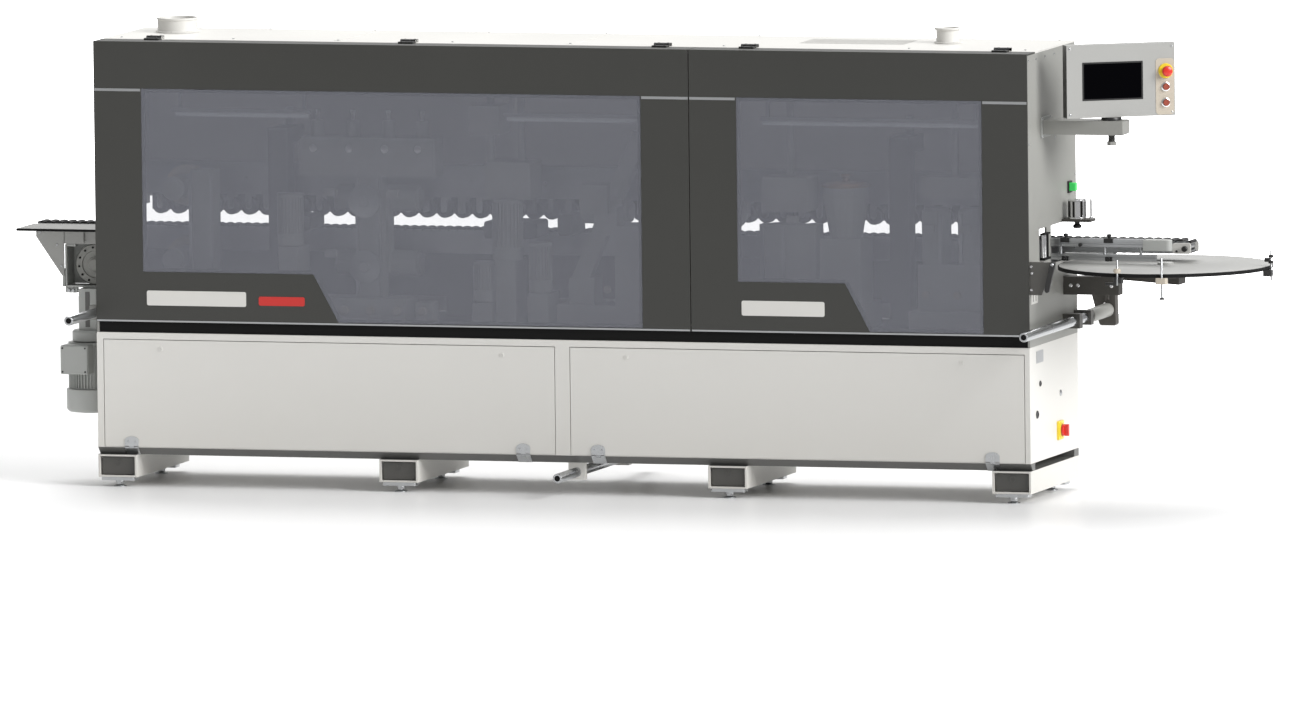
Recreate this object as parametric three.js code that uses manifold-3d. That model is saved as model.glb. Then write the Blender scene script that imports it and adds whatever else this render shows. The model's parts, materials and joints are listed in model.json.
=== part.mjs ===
// Edge banding machine for panels: a feed chain carries each panel past the working units,
// from the infeed end (+X) to the outfeed end (-X). The operator stands at the front (-Y).
// Millimetres, +Z up. The origin is on the floor under the middle of the machine's box.
import * as THREE from 'three';
import { mergeVertices } from 'three/addons/utils/BufferGeometryUtils.js';
import Module from 'manifold-3d';

const wasm = await Module();
wasm.setup();

// ---------------------------------------------------------------- driving dimensions
// Inside this file X runs from the hood's outfeed end, Y from its front face, Z from the floor.
const LENGTH = 3643;          // hood and base, outfeed end to infeed end
const DEPTH = 640;            // hood and base, front to rear
const TOP = 1677;             // roof
const GAP = 0.3;              // between pieces that touch
const SHEET = 6;              // hood sheet with its folded stiffening
const CHANNEL_BOTTOM = 37;
const CHANNEL_TOP = 122;
const CHANNEL_WIDTH = 150;
const CABINET_BOTTOM = 150;
const BED_BOTTOM = 582;
const BED_TOP = 622;
const DOOR_BOTTOM = 623;      // lower edge of the hood doors
const DOOR_SPLIT = 2330;      // seam between the two hood doors
const DOOR_RETURN = 110;      // depth of the doors' top return
const WORK_TOP = 957;         // top of the chain pads
const CHAIN_Y = 470;          // middle of the chain
const CHAIN_WIDTH = 80;
const CHAIN_START = -385;
const CHAIN_END = 4157;
const CHAIN_HEIGHT = 55;
const CHAIN_THICK = 14;
const PASSAGE_TOP = 1013;     // upper edge of the panel passage in the side plates
const PASSAGE_FRONT = 300;
const ROD_RADIUS = 18;
const ROD_HEIGHT = 643;
const ROD_FRONT = -215;
const RAIL_FRONT = 905;
const RAIL_REAR = 945;
const TRAY_RADIUS = 400;
const TRAY_CENTRE = [4080, 316];
const TRAY_TOP = 874;
const PANEL_TURN = THREE.MathUtils.degToRad(32);   // control panel, turned towards the operator

const FINISH = {
  lightPaint: { color: 0xcbcac6, roughness: 0.45, metalness: 0.1 },
  plateGrey: { color: 0xaaaaa3, roughness: 0.45, metalness: 0.2 },
  charcoal: { color: 0x464642, roughness: 0.5, metalness: 0.1 },
  blackSteel: { color: 0x1c1c1c, roughness: 0.6, metalness: 0.3 },
  castDark: { color: 0x3c3a37, roughness: 0.6, metalness: 0.4 },
  machined: { color: 0xa8aaac, roughness: 0.35, metalness: 0.9 },
  tinted: { color: 0x6e6f79, roughness: 0.1, metalness: 0.0, transparent: true, opacity: 0.5 },
  rubber: { color: 0x222222, roughness: 0.85, metalness: 0.0 },
  motorGrey: { color: 0x8d918f, roughness: 0.5, metalness: 0.3 },
  red: { color: 0xd01810, roughness: 0.35, metalness: 0.0 },
  green: { color: 0x1f9a35, roughness: 0.35, metalness: 0.0 },
  buttonRed: { color: 0x9c3524, roughness: 0.4, metalness: 0.0 },
};

// ---------------------------------------------------------------- shape helpers
const AXIS_TURN = {
  x: new THREE.Matrix4().makeRotationZ(-Math.PI / 2),
  y: new THREE.Matrix4(),
  z: new THREE.Matrix4().makeRotationX(Math.PI / 2),
};

function box(x, y, z) {
  const shape = new THREE.BoxGeometry(x[1] - x[0], y[1] - y[0], z[1] - z[0]);
  return shape.translate((x[0] + x[1]) / 2, (y[0] + y[1]) / 2, (z[0] + z[1]) / 2);
}

// A round bar along an axis from low to high; at holds the other two coordinates in X, Y, Z order.
function bar(axis, at, radius, low, high, sides = 16) {
  const shape = new THREE.CylinderGeometry(radius, radius, high - low, sides);
  shape.applyMatrix4(AXIS_TURN[axis]);
  const middle = (low + high) / 2;
  const place = {
    x: [middle, at[0], at[1]],
    y: [at[0], middle, at[1]],
    z: [at[0], at[1], middle],
  }[axis];
  return shape.translate(...place);
}

// A body of revolution round a vertical axis at (x, y); profile holds [radius, height] pairs.
function turned(profile, x, y, sides = 24) {
  const points = profile.map(([r, z]) => new THREE.Vector2(r, z));
  const shape = new THREE.LatheGeometry(points, sides);
  shape.applyMatrix4(AXIS_TURN.z);
  return shape.translate(x, y, 0);
}

// An outline in the plane across an axis, drawn out from low to high.
// Outlines are (y, z) pairs for axis x, (x, z) pairs for axis y, and (x, y) pairs for axis z.
function prism(axis, outline, low, high, holes = []) {
  const flat = new THREE.Shape(outline.map(([u, v]) => new THREE.Vector2(u, v)));
  for (const hole of holes) {
    flat.holes.push(new THREE.Path(hole.map(([u, v]) => new THREE.Vector2(u, v))));
  }
  const shape = new THREE.ExtrudeGeometry(flat, { depth: high - low, bevelEnabled: false, curveSegments: 8 });
  if (axis === 'z') return shape.translate(0, 0, low);
  const turn = new THREE.Matrix4();
  if (axis === 'x') {
    turn.makeBasis(new THREE.Vector3(0, 1, 0), new THREE.Vector3(0, 0, 1), new THREE.Vector3(1, 0, 0));
    return shape.applyMatrix4(turn).translate(low, 0, 0);
  }
  turn.makeBasis(new THREE.Vector3(1, 0, 0), new THREE.Vector3(0, 0, 1), new THREE.Vector3(0, -1, 0));
  return shape.applyMatrix4(turn).translate(0, high, 0);
}

function rectangle(x, y) {
  return [[x[0], y[0]], [x[1], y[0]], [x[1], y[1]], [x[0], y[1]]];
}

function toSolid(geometry) {
  let plain = geometry.clone();
  plain.deleteAttribute('normal');
  plain.deleteAttribute('uv');
  plain = mergeVertices(plain, 1e-3);
  const triVerts = new Uint32Array(plain.index.array);
  const vertProperties = new Float32Array(plain.attributes.position.array);
  return new wasm.Manifold(new wasm.Mesh({ numProp: 3, vertProperties, triVerts }));
}

function toGeometry(solid) {
  const mesh = solid.getMesh();
  const geometry = new THREE.BufferGeometry();
  geometry.setAttribute('position', new THREE.BufferAttribute(new Float32Array(mesh.vertProperties), 3));
  geometry.setIndex(new THREE.BufferAttribute(new Uint32Array(mesh.triVerts), 1));
  return geometry;
}

function join(...shapes) {
  return toGeometry(shapes.map(toSolid).reduce((all, next) => all.add(next)));
}

function cut(shape, ...tools) {
  return toGeometry(tools.map(toSolid).reduce((rest, tool) => rest.subtract(tool), toSolid(shape)));
}

const machine = new THREE.Group();

function add(name, geometry, finish) {
  const shape = geometry.index ? geometry.toNonIndexed() : geometry;
  shape.computeVertexNormals();
  const mesh = new THREE.Mesh(shape, new THREE.MeshStandardMaterial(FINISH[finish]));
  mesh.name = name;
  machine.add(mesh);
  return mesh;
}

// ---------------------------------------------------------------- base
const CHANNEL_STARTS = [0, 1105, 2390, LENGTH - CHANNEL_WIDTH];
const CENTRE_ROD_X = 1868;
const CENTRE_ROD_Z = 85;

function baseFrame() {
  const wall = 7;
  const channels = CHANNEL_STARTS.map((x) => cut(
    box([x, x + CHANNEL_WIDTH], [0, DEPTH], [CHANNEL_BOTTOM, CHANNEL_TOP]),
    box([x + wall, x + CHANNEL_WIDTH - wall], [-1, DEPTH + 1], [CHANNEL_BOTTOM + wall, CHANNEL_TOP - wall]),
  ));
  const top = CABINET_BOTTOM - GAP;
  const low = CHANNEL_TOP - 1;
  const sill = prism('x', [[0, top], [28, low], [60, low], [60, top]], 0, LENGTH);
  const rearRail = box([0, LENGTH], [580, DEPTH], [low, top]);
  const bearing = (y) => cut(
    box([CENTRE_ROD_X - 32, CENTRE_ROD_X + 32], y, [CENTRE_ROD_Z - 28, CHANNEL_TOP + 3]),
    bar('y', [CENTRE_ROD_X, CENTRE_ROD_Z], ROD_RADIUS + GAP, y[0] - 1, y[1] + 1),
  );
  return join(sill, rearRail, ...channels, bearing([30, 58]), bearing([590, 625]));
}

function levellingFoot(x, y) {
  const plate = box([x - 65, x + 65], [y - 28, y + 28], [17, CHANNEL_BOTTOM - GAP]);
  const nut = bar('z', [x, y], 15, 7, 18, 6);
  const screw = bar('z', [x, y], 8, 0, 18, 12);
  return join(plate, nut, screw);
}

const LOW_DOORS = { outfeed: [28, 1795], infeed: [1857, 3621] };
const LOW_DOOR_Z = [152.5, 555];
const DOOR_CLEARANCE = 2.5;

// Sheet cabinet: a front frame with two door openings and one space behind each, parted in the middle.
function baseCabinet() {
  const wall = 6;
  const frameDepth = 25;
  const floor = CABINET_BOTTOM + 1.6;
  const middle = (LOW_DOORS.outfeed[1] + LOW_DOORS.infeed[0]) / 2;
  const openings = Object.values(LOW_DOORS).map(([from, to]) => box(
    [from - DOOR_CLEARANCE, to + DOOR_CLEARANCE],
    [-1, frameDepth + 1],
    [floor, LOW_DOOR_Z[1] + DOOR_CLEARANCE],
  ));
  const spaces = [[wall, middle - wall], [middle + wall, LENGTH - wall]].map((x) => (
    box(x, [frameDepth, DEPTH - wall], [floor, BED_BOTTOM - wall])));
  return cut(box([0, LENGTH], [0, DEPTH], [CABINET_BOTTOM, BED_BOTTOM]), ...openings, ...spaces);
}

// Bed plate with its edges folded down.
function machineBed() {
  const wall = 12;
  const x = [8.5, LENGTH - 8.5];
  const y = [12, 628];
  const pan = box([x[0] + wall, x[1] - wall], [y[0] + wall, y[1] - wall], [BED_BOTTOM - 1, BED_TOP - wall]);
  return cut(box(x, y, [BED_BOTTOM + GAP, BED_TOP]), pan);
}

function lowDoor([from, to]) {
  const skin = 3;
  const depth = 22;
  return cut(
    box([from, to], [0, depth], LOW_DOOR_Z),
    box([from + skin, to - skin], [skin, depth + 1], [LOW_DOOR_Z[0] + skin, LOW_DOOR_Z[1] - skin]),
  );
}

add('base_frame', baseFrame(), 'lightPaint');
CHANNEL_STARTS.forEach((x, k) => {
  const middle = x + CHANNEL_WIDTH / 2;
  add(`levelling_foot_front_${k + 1}`, levellingFoot(middle, 30), 'machined');
  add(`levelling_foot_rear_${k + 1}`, levellingFoot(middle, 530), 'machined');
});
add('base_cabinet', baseCabinet(), 'lightPaint');
add('base_door_outfeed', lowDoor(LOW_DOORS.outfeed), 'lightPaint');
add('base_door_infeed', lowDoor(LOW_DOORS.infeed), 'lightPaint');
add('machine_bed', machineBed(), 'blackSteel');

// ---------------------------------------------------------------- hood
const ROOF_BOTTOM = TOP - SHEET;
const HINGE_Y = DOOR_RETURN;
const HINGE_Z = 1685;
const HINGE_CENTRES = [206, 1204, 2195, 2534, 3515];
const PORTS = {
  outfeed: { x: 188, y: 449, radius: 75, top: TOP + 55 },
  infeed: { x: 3207, y: 445, radius: 43, top: TOP + 58, rim: 50 },
};
const VENT = { x: [2657, 3067], y: [338, 538], slots: 8 };

// Side plate outline in (y, z): the panel passage is open to the rear edge.
function sidePlate(from, to) {
  const outline = [
    [SHEET + 1, BED_BOTTOM + GAP], [DEPTH, BED_BOTTOM + GAP], [DEPTH, 870], [PASSAGE_FRONT, 870],
    [PASSAGE_FRONT, PASSAGE_TOP], [DEPTH, PASSAGE_TOP], [DEPTH, ROOF_BOTTOM - GAP],
    [SHEET + 1, ROOF_BOTTOM - GAP],
  ];
  const window = rectangle([143, 240], [896, PASSAGE_TOP]);
  return prism('x', outline, from, to, [window]);
}

// Block with a bush that guides a support rod; foot reaches the side plate.
function rodBearing(rodX, footX, y) {
  const x = [Math.min(rodX - 27, footX), Math.max(rodX + 27, footX)];
  return cut(
    box(x, y, [ROD_HEIGHT - 27, ROD_HEIGHT + 27]),
    bar('y', [rodX, ROD_HEIGHT], ROD_RADIUS + GAP, y[0] - 1, y[1] + 1),
  );
}

const ROD_X = { outfeed: -40, infeed: 3683 };

function infeedSidePlate() {
  const bracket = prism('y', [[LENGTH - 2, 903], [3743, 903], [3690, 780], [LENGTH - 2, 780]], 7, 20);
  return join(
    sidePlate(LENGTH - 8, LENGTH),
    bracket,
    rodBearing(ROD_X.infeed, LENGTH - 2, [440, 480]),
    rodBearing(ROD_X.infeed, LENGTH - 2, [590, 625]),
  );
}

function outfeedSidePlate() {
  return join(
    sidePlate(0, 8),
    rodBearing(ROD_X.outfeed, 2, [120, 160]),
    rodBearing(ROD_X.outfeed, 2, [590, 625]),
  );
}

function roofPanel() {
  const sheet = box([0, LENGTH], [DOOR_RETURN + 1, DEPTH], [ROOF_BOTTOM, TOP]);
  const holes = Object.values(PORTS).map((p) => (
    bar('z', [p.x, p.y], p.radius - 5, ROOF_BOTTOM - 1, TOP + 1, 24)));
  const pitch = (VENT.y[1] - VENT.y[0]) / VENT.slots;
  for (let k = 0; k < VENT.slots; k += 1) {
    const y = VENT.y[0] + k * pitch;
    holes.push(box(VENT.x, [y, y + pitch / 2], [ROOF_BOTTOM - 1, TOP + 1]));
  }
  const hinges = HINGE_CENTRES.map((x) => join(
    bar('x', [HINGE_Y, HINGE_Z], 6, x - 29.5, x + 29.5, 12),
    box([x - 29.5, x + 29.5], [HINGE_Y, HINGE_Y + 34], [TOP - 1, HINGE_Z + 3]),
  ));
  return join(cut(sheet, ...holes), ...hinges);
}

function dustPort({ x, y, radius, top, rim }) {
  const edge = rim ?? radius + 3;
  const low = TOP + GAP;
  return turned([
    [radius - 3, low], [radius + 8, low], [radius + 8, low + 3], [radius, low + 3], [radius, top - 6],
    [edge, top - 6], [edge, top], [radius - 3, top], [radius - 3, low],
  ], x, y, 28);
}

// Hood door: front sheet with its window opening and the return over the top.
function hoodDoor(from, to, glass) {
  const back = SHEET;
  const profile = [
    [0, DOOR_BOTTOM], [back, DOOR_BOTTOM], [back, TOP - SHEET], [DOOR_RETURN, TOP - SHEET],
    [DOOR_RETURN, TOP], [0, TOP],
  ];
  return cut(prism('x', profile, from, to), prism('y', glass, -1, back + 1));
}

// The window's outline in (x, z), with the solid corner that carries the maker's panel.
function windowOutline(x, corner, inset = 0) {
  const bottom = 632 + inset;
  const top = 1501 - inset;
  return [
    [x[0] + inset, 812 + inset], [corner[0], 812 + inset], [corner[1] + inset, bottom],
    [x[1] - inset, bottom], [x[1] - inset, top], [x[0] + inset, top],
  ];
}

const GLASS = {
  outfeed: { x: [186, 2142], corner: [855, 952] },
  infeed: { x: [2514, 3466], corner: [2930, 3025] },
};

add('roof_panel', roofPanel(), 'lightPaint');
add('side_plate_infeed', infeedSidePlate(), 'plateGrey');
add('side_plate_outfeed', outfeedSidePlate(), 'plateGrey');
add('rear_cover_upper', box([8.5, LENGTH - 8.5], [634, DEPTH], [1040, ROOF_BOTTOM - GAP]), 'lightPaint');
add('rear_cover_lower', box([8.5, LENGTH - 8.5], [634, DEPTH], [BED_TOP + GAP, 880]), 'lightPaint');
add('dust_port_outfeed', dustPort(PORTS.outfeed), 'plateGrey');
add('dust_port_infeed', dustPort(PORTS.infeed), 'plateGrey');
const seam = 1.5;
const { outfeed: glassOut, infeed: glassIn } = GLASS;
const windowOutfeed = windowOutline(glassOut.x, glassOut.corner);
const windowInfeed = windowOutline(glassIn.x, glassIn.corner);
add('hood_door_outfeed', hoodDoor(0, DOOR_SPLIT - seam, windowOutfeed), 'charcoal');
add('hood_door_infeed', hoodDoor(DOOR_SPLIT + seam, LENGTH, windowInfeed), 'charcoal');
const paneInset = 0.5;
for (const [end, { x, corner }] of Object.entries(GLASS)) {
  const pane = prism('y', windowOutline(x, corner, paneInset), 1, 5);
  add(`hood_window_${end}`, pane, 'tinted');
}

// ---------------------------------------------------------------- conveyor
const BEAM_Z = [700, 860];
const COLUMN_CENTRES = [620, 3050];
const CHAIN_MIDDLE = WORK_TOP - CHAIN_HEIGHT / 2;
const IDLER_RADIUS = CHAIN_HEIGHT / 2 - CHAIN_THICK - 1;
const IDLER_X = { outfeed: CHAIN_START + CHAIN_HEIGHT / 2, infeed: CHAIN_END - CHAIN_HEIGHT / 2 };
const SCREW_RADIUS = 15;

function mainBeam() {
  const wall = 8;
  const tube = cut(
    box([9, LENGTH - 9], [420, 520], BEAM_Z),
    box([8, LENGTH - 8], [420 + wall, 520 - wall], [BEAM_Z[0] + wall, BEAM_Z[1] - wall]),
  );
  const pedestals = [350, 1300, 2250, 3300].map((x) => (
    box([x - 60, x + 60], [430, 510], [BED_TOP + GAP, BEAM_Z[0] + 1])));
  const columns = COLUMN_CENTRES.map((x) => join(
    box([x - 50, x + 50], [320, 440], [BED_TOP + GAP, BED_TOP + 20]),
    box([x - 50, x + 50], [430, 510], [BED_TOP + GAP, BEAM_Z[0] + 1]),
    box([x - 40, x + 40], [320, 390], [BED_TOP + 10, 1330]),
    cut(
      box([x - 40, x + 40], [380, 510], [1270, 1330]),
      bar('z', [x, CHAIN_Y], SCREW_RADIUS + GAP, 1269, 1331),
    ),
  ));
  return join(tube, ...pedestals, ...columns);
}

// Flat ring that the chain fills: a stadium outline, open in the middle.
function stadium(height, inset) {
  const radius = height / 2 - inset;
  const steps = 8;
  const outline = [];
  for (let k = 0; k <= steps; k += 1) {
    const turn = -Math.PI / 2 + (Math.PI * k) / steps;
    outline.push([IDLER_X.infeed + radius * Math.cos(turn), CHAIN_MIDDLE + radius * Math.sin(turn)]);
  }
  for (let k = 0; k <= steps; k += 1) {
    const turn = Math.PI / 2 + (Math.PI * k) / steps;
    outline.push([IDLER_X.outfeed + radius * Math.cos(turn), CHAIN_MIDDLE + radius * Math.sin(turn)]);
  }
  return outline;
}

function conveyorTrack() {
  const cheek = [
    [-365, 904], [9, 904], [9, BEAM_Z[1] + GAP], [LENGTH - 9, BEAM_Z[1] + GAP], [LENGTH - 9, 904],
    [4137, 904], [4137, 945], [-365, 945],
  ];
  const cheeks = [[421, 427], [513, 519]].map(([near, far]) => prism('y', cheek, near, far));
  const rail = box([-335, 4107], [433, 507], [918.5, 940.5]);
  const ties = [-300, 350, 1000, 1650, 2300, 2950, 3550, 4060].map((x) => (
    box([x - 12, x + 12], [422, 518], [922, 937])));
  const bores = Object.values(IDLER_X).map((x) => bar('y', [x, CHAIN_MIDDLE], 5 + GAP, 400, 540));
  return cut(join(rail, ...cheeks, ...ties), ...bores);
}

function idler(x) {
  return join(
    bar('y', [x, CHAIN_MIDDLE], IDLER_RADIUS, 433, 507),
    bar('y', [x, CHAIN_MIDDLE], 5, 419, 521),
  );
}

const DRIVE = { x: -111, z: 805, teeth: 18, root: 86, tip: 96.5 };

function driveSprocket() {
  const outline = [];
  for (let k = 0; k < DRIVE.teeth; k += 1) {
    const turn = (2 * Math.PI * k) / DRIVE.teeth + Math.PI / 2;
    const half = Math.PI / DRIVE.teeth;
    const corners = [[-0.8, DRIVE.root], [-0.3, DRIVE.tip], [0.3, DRIVE.tip], [0.8, DRIVE.root]];
    for (const [share, radius] of corners) {
      const angle = turn + share * half;
      outline.push([DRIVE.x + radius * Math.cos(angle), DRIVE.z + radius * Math.sin(angle)]);
    }
  }
  return join(
    prism('y', outline, 462, 478),
    bar('y', [DRIVE.x, DRIVE.z], 40, 445, 490, 20),
    bar('y', [DRIVE.x, DRIVE.z], 18, 400 + GAP, 500, 20),
  );
}

function outfeedTable() {
  const plate = box([-380, -GAP], [206, 420], [938, 948]);
  const gusset = prism('y', [[-333, 939], [-333, 910], [-232, 764], [-223, 764], [-223, 939]], 296, 304);
  const mount = box([-20, -GAP], [206, 296], [908, 939]);
  return join(plate, gusset, mount);
}

function driveGearbox() {
  const x = [-222, -GAP];
  const wall = 8;
  return join(
    box([x[0], x[0] + wall], [304 + GAP, 400], [719, 882]),
    box([x[1] - wall, x[1]], [304 + GAP, 400], [719, 882]),
    box(x, [304 + GAP, 400], [719, 719 + wall]),
    box(x, [390, 400], [719, 882]),
    bar('y', [DRIVE.x, DRIVE.z], 77, 330, 391, 32),
    bar('y', [DRIVE.x, DRIVE.z], 22, 316, 331, 20),
  );
}

function driveMotor() {
  const [x, y] = [-118, 290];
  return join(
    box([x - 37, x + 37], [y - 37, y + 60], [562, 719 - GAP]),
    turned([
      [0, 254], [86, 254], [94, 262], [94, 342], [86, 342], [86, 518], [70, 520], [70, 563], [0, 563],
    ], x, y, 32),
    box([-193, -84], [y - 150, y - 40], [406, 515]),
  );
}

add('main_beam', mainBeam(), 'castDark');
add('conveyor_track', conveyorTrack(), 'plateGrey');
const chainWidth = [CHAIN_Y - CHAIN_WIDTH / 2, CHAIN_Y + CHAIN_WIDTH / 2];
const chainRing = prism('y', stadium(CHAIN_HEIGHT, 0), ...chainWidth, [stadium(CHAIN_HEIGHT, CHAIN_THICK)]);
add('conveyor_chain', chainRing, 'rubber');
add('idler_sprocket_infeed', idler(IDLER_X.infeed), 'machined');
add('idler_sprocket_outfeed', idler(IDLER_X.outfeed), 'machined');
add('drive_sprocket', driveSprocket(), 'machined');
add('outfeed_table', outfeedTable(), 'plateGrey');
add('drive_gearbox', driveGearbox(), 'motorGrey');
add('drive_motor', driveMotor(), 'motorGrey');

// ---------------------------------------------------------------- pressure beam and wheels
const WHEEL_RADIUS = 32.5;
const WHEEL_Z = 990 + WHEEL_RADIUS;
const WHEEL_CENTRES = [250, 1300, 2350, 3400];
const AXLE_RADIUS = 6;
const PRESSURE_Z = [1070, 1190];

function pressureBeam() {
  const tube = box([60, 3560], [430, 510], PRESSURE_Z);
  const screws = COLUMN_CENTRES.map((x) => bar('z', [x, CHAIN_Y], SCREW_RADIUS, PRESSURE_Z[1] - 1, 1400));
  const hangers = WHEEL_CENTRES.map((x) => join(
    box([x - 14, x + 14], [442, 448], [WHEEL_Z - 14, PRESSURE_Z[0] + 1]),
    box([x - 14, x + 14], [492, 498], [WHEEL_Z - 14, PRESSURE_Z[0] + 1]),
    bar('y', [x, WHEEL_Z], AXLE_RADIUS, 443, 497),
  ));
  return join(tube, ...screws, ...hangers);
}

add('pressure_beam', pressureBeam(), 'motorGrey');
WHEEL_CENTRES.forEach((x, k) => {
  const wheel = cut(
    bar('y', [x, WHEEL_Z], WHEEL_RADIUS, 453, 487, 28),
    bar('y', [x, WHEEL_Z], AXLE_RADIUS + GAP, 452, 488),
  );
  add(`pressure_wheel_${k + 1}`, wheel, 'rubber');
});

// ---------------------------------------------------------------- working units
const BED_SEAT = BED_TOP + GAP;

// A motor with its axis along an axis of the machine, with a smaller flange at each end.
function motor(axis, at, radius, low, high) {
  const flange = 10;
  return join(
    bar(axis, at, radius, low + flange, high - flange, 20),
    bar(axis, at, radius * 0.8, low, high, 20),
  );
}

// Premilling: two cutter motors side by side on a slide.
function premillUnit() {
  return join(
    box([3140, 3440], [120, 300], [BED_SEAT, 700]),
    box([3160, 3420], [180, 290], [690, 870]),
    motor('z', [3220, 230], 55, 860, 1080),
    motor('z', [3360, 230], 55, 860, 1080),
    box([3170, 3410], [250, 390], [900, 940]),
  );
}

// Glue pot with its hopper, applicator roller and the press rollers behind it.
function glueUnit() {
  const rollers = [2560, 2640, 2710].map((x) => bar('z', [x, 372], 26, 900, 1000, 20));
  return join(
    box([2530, 2960], [140, 380], [BED_SEAT, 720]),
    box([2780, 2940], [180, 340], [710, 960]),
    turned([[0, 955], [60, 955], [85, 1110], [85, 1150], [0, 1150]], 2860, 260, 20),
    bar('z', [2800, 362], 30, 880, 1000, 20),
    box([2540, 2790], [250, 385], [860, 905]),
    box([2540, 2760], [200, 260], [710, 1010]),
    ...rollers,
  );
}

// End trimming: inclined guide bars that carry two saw motors.
function endTrimUnit() {
  const slope = [[1790, 760], [1850, 740], [2110, 1330], [2050, 1350]];
  return join(
    box([1760, 2140], [150, 300], [BED_SEAT, 700]),
    box([1800, 1900], [180, 280], [690, 800]),
    prism('y', slope, 190, 240),
    box([1990, 2120], [150, 300], [690, 1000]),
    motor('x', [310, 1040], 48, 1820, 2010),
    box([1900, 1990], [180, 330], [960, 1080]),
  );
}

// Flush trimming: upper and lower motors on one post, with the cylinder block above.
function flushTrimUnit() {
  const cylinders = [800, 940, 1080, 1210].map((x) => bar('z', [x, 250], 24, 1305, 1372, 16));
  return join(
    box([742, 1275], [200, 300], [1165, 1310]),
    box([960, 1060], [210, 290], [700, 1170]),
    box([850, 1170], [150, 310], [BED_SEAT, 710]),
    motor('x', [330, 1075], 50, 850, 1180),
    motor('x', [330, 830], 50, 850, 1180),
    box([950, 1070], [260, 330], [800, 1100]),
    ...cylinders,
  );
}

// Buffing: an upper and a lower cloth wheel on their motors.
function buffingUnit() {
  return join(
    box([190, 520], [150, 310], [BED_SEAT, 700]),
    box([310, 400], [200, 290], [690, 1180]),
    bar('y', [250, 1110], 75, 330, 372, 28),
    bar('y', [250, 840], 75, 330, 372, 28),
    motor('y', [250, 1110], 45, 170, 335),
    motor('y', [250, 840], 45, 170, 335),
    box([240, 330], [230, 280], [1080, 1140]),
    box([240, 330], [230, 280], [810, 870]),
  );
}

add('premill_unit', premillUnit(), 'motorGrey');
add('glue_unit', glueUnit(), 'motorGrey');
add('end_trim_unit', endTrimUnit(), 'motorGrey');
add('flush_trim_unit', flushTrimUnit(), 'motorGrey');
add('buffing_unit', buffingUnit(), 'motorGrey');

// ---------------------------------------------------------------- infeed end
const PLATE_FACE = LENGTH + GAP;

function coilTrayArm() {
  const [x, y] = TRAY_CENTRE;
  const under = TRAY_TOP - 14 - GAP;
  return join(
    box([PLATE_FACE, 3858], [455, 510], [741, 809]),
    prism('z', [
      [3790, 455], [3858, 455], [x + 60, y - 30], [x + 60, y + 60], [3858, 510], [3790, 510],
    ], 800, 830),
    turned([[0, 829], [90, 829], [90, under], [0, under]], x, y, 24),
  );
}

// Guide pin clamped to the tray's rim at an angle, in degrees from +X.
function rimPin(angle, low, high) {
  const turn = THREE.MathUtils.degToRad(angle);
  const [cx, cy] = TRAY_CENTRE;
  const pinAt = [cx + (TRAY_RADIUS + 8) * Math.cos(turn), cy + (TRAY_RADIUS + 8) * Math.sin(turn)];
  const clampAt = [cx + (TRAY_RADIUS - 6) * Math.cos(turn), cy + (TRAY_RADIUS - 6) * Math.sin(turn)];
  return join(
    bar('z', pinAt, 6, low, high, 12),
    box(
      [clampAt[0] - 20, clampAt[0] + 20],
      [clampAt[1] - 18, clampAt[1] + 18],
      [TRAY_TOP - 40, TRAY_TOP - 8],
    ),
  );
}

function coilTray() {
  const disc = turned([
    [0, TRAY_TOP - 14], [TRAY_RADIUS, TRAY_TOP - 14], [TRAY_RADIUS, TRAY_TOP],
    [30, TRAY_TOP], [30, TRAY_TOP + 8], [0, TRAY_TOP + 8],
  ], ...TRAY_CENTRE, 64);
  return join(disc, rimPin(-76, 779, 935), rimPin(0, 820, 934), rimPin(-100, 830, 925));
}

// Two guide bars that lead the edging tape from the coil to the glue unit.
function tapeGuide() {
  const posts = [3680, 3850, 3990].map((x) => box([x - 8, x + 8], [292, 308], [905, 940]));
  const endBox = prism('z', [
    [4000, 282], [4098, 282], [4108, 288], [4112, 300], [4108, 312], [4098, 318], [4000, 318],
  ], 925, 967);
  return join(
    box([PLATE_FACE, 4013], [288, 312], [937, 967]),
    box([PLATE_FACE, 4050], [290, 310], [887, 910]),
    endBox,
    ...posts,
  );
}

const GATE = { x: 3694, y: 474 };

function entryGateCylinder() {
  const bracket = cut(
    box([PLATE_FACE, 3756], [440, 510], [1014, 1025]),
    bar('z', [GATE.x, GATE.y], 10 + GAP, 1013, 1026),
  );
  const barrel = turned([
    [10 + GAP, 1024], [35, 1024], [35, 1097], [0, 1097], [0, 1060], [10 + GAP, 1060], [10 + GAP, 1024],
  ], GATE.x, GATE.y, 28);
  return join(bracket, barrel, bar('z', [3748, GATE.y], 7, 1024, 1108));
}

add('coil_tray_arm', coilTrayArm(), 'castDark');
add('coil_tray', coilTray(), 'plateGrey');
add('tape_guide', tapeGuide(), 'machined');
add('entry_gate_cylinder', entryGateCylinder(), 'castDark');
const plunger = join(
  bar('z', [GATE.x, GATE.y], 10, 1000, 1059, 16),
  bar('z', [GATE.x, GATE.y], 16, 989, 1003, 16),
);
add('entry_gate_plunger', plunger, 'rubber');

const LEVER = { top: [3736, 896], bottom: [3714, 800], half: 10 };

// Hand lever in front of the bracket: a rounded bar between two points in (x, z).
function clampLever() {
  const [a, b] = [LEVER.top, LEVER.bottom];
  const tilt = Math.atan2(b[1] - a[1], b[0] - a[0]);
  const outline = [];
  for (const [centre, start] of [[b, tilt - Math.PI / 2], [a, tilt + Math.PI / 2]]) {
    for (let k = 0; k <= 6; k += 1) {
      const turn = start + (Math.PI * k) / 6;
      outline.push([centre[0] + LEVER.half * Math.cos(turn), centre[1] + LEVER.half * Math.sin(turn)]);
    }
  }
  return prism('y', outline, -8, 7 - GAP);
}

add('clamp_lever', clampLever(), 'rubber');

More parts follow.
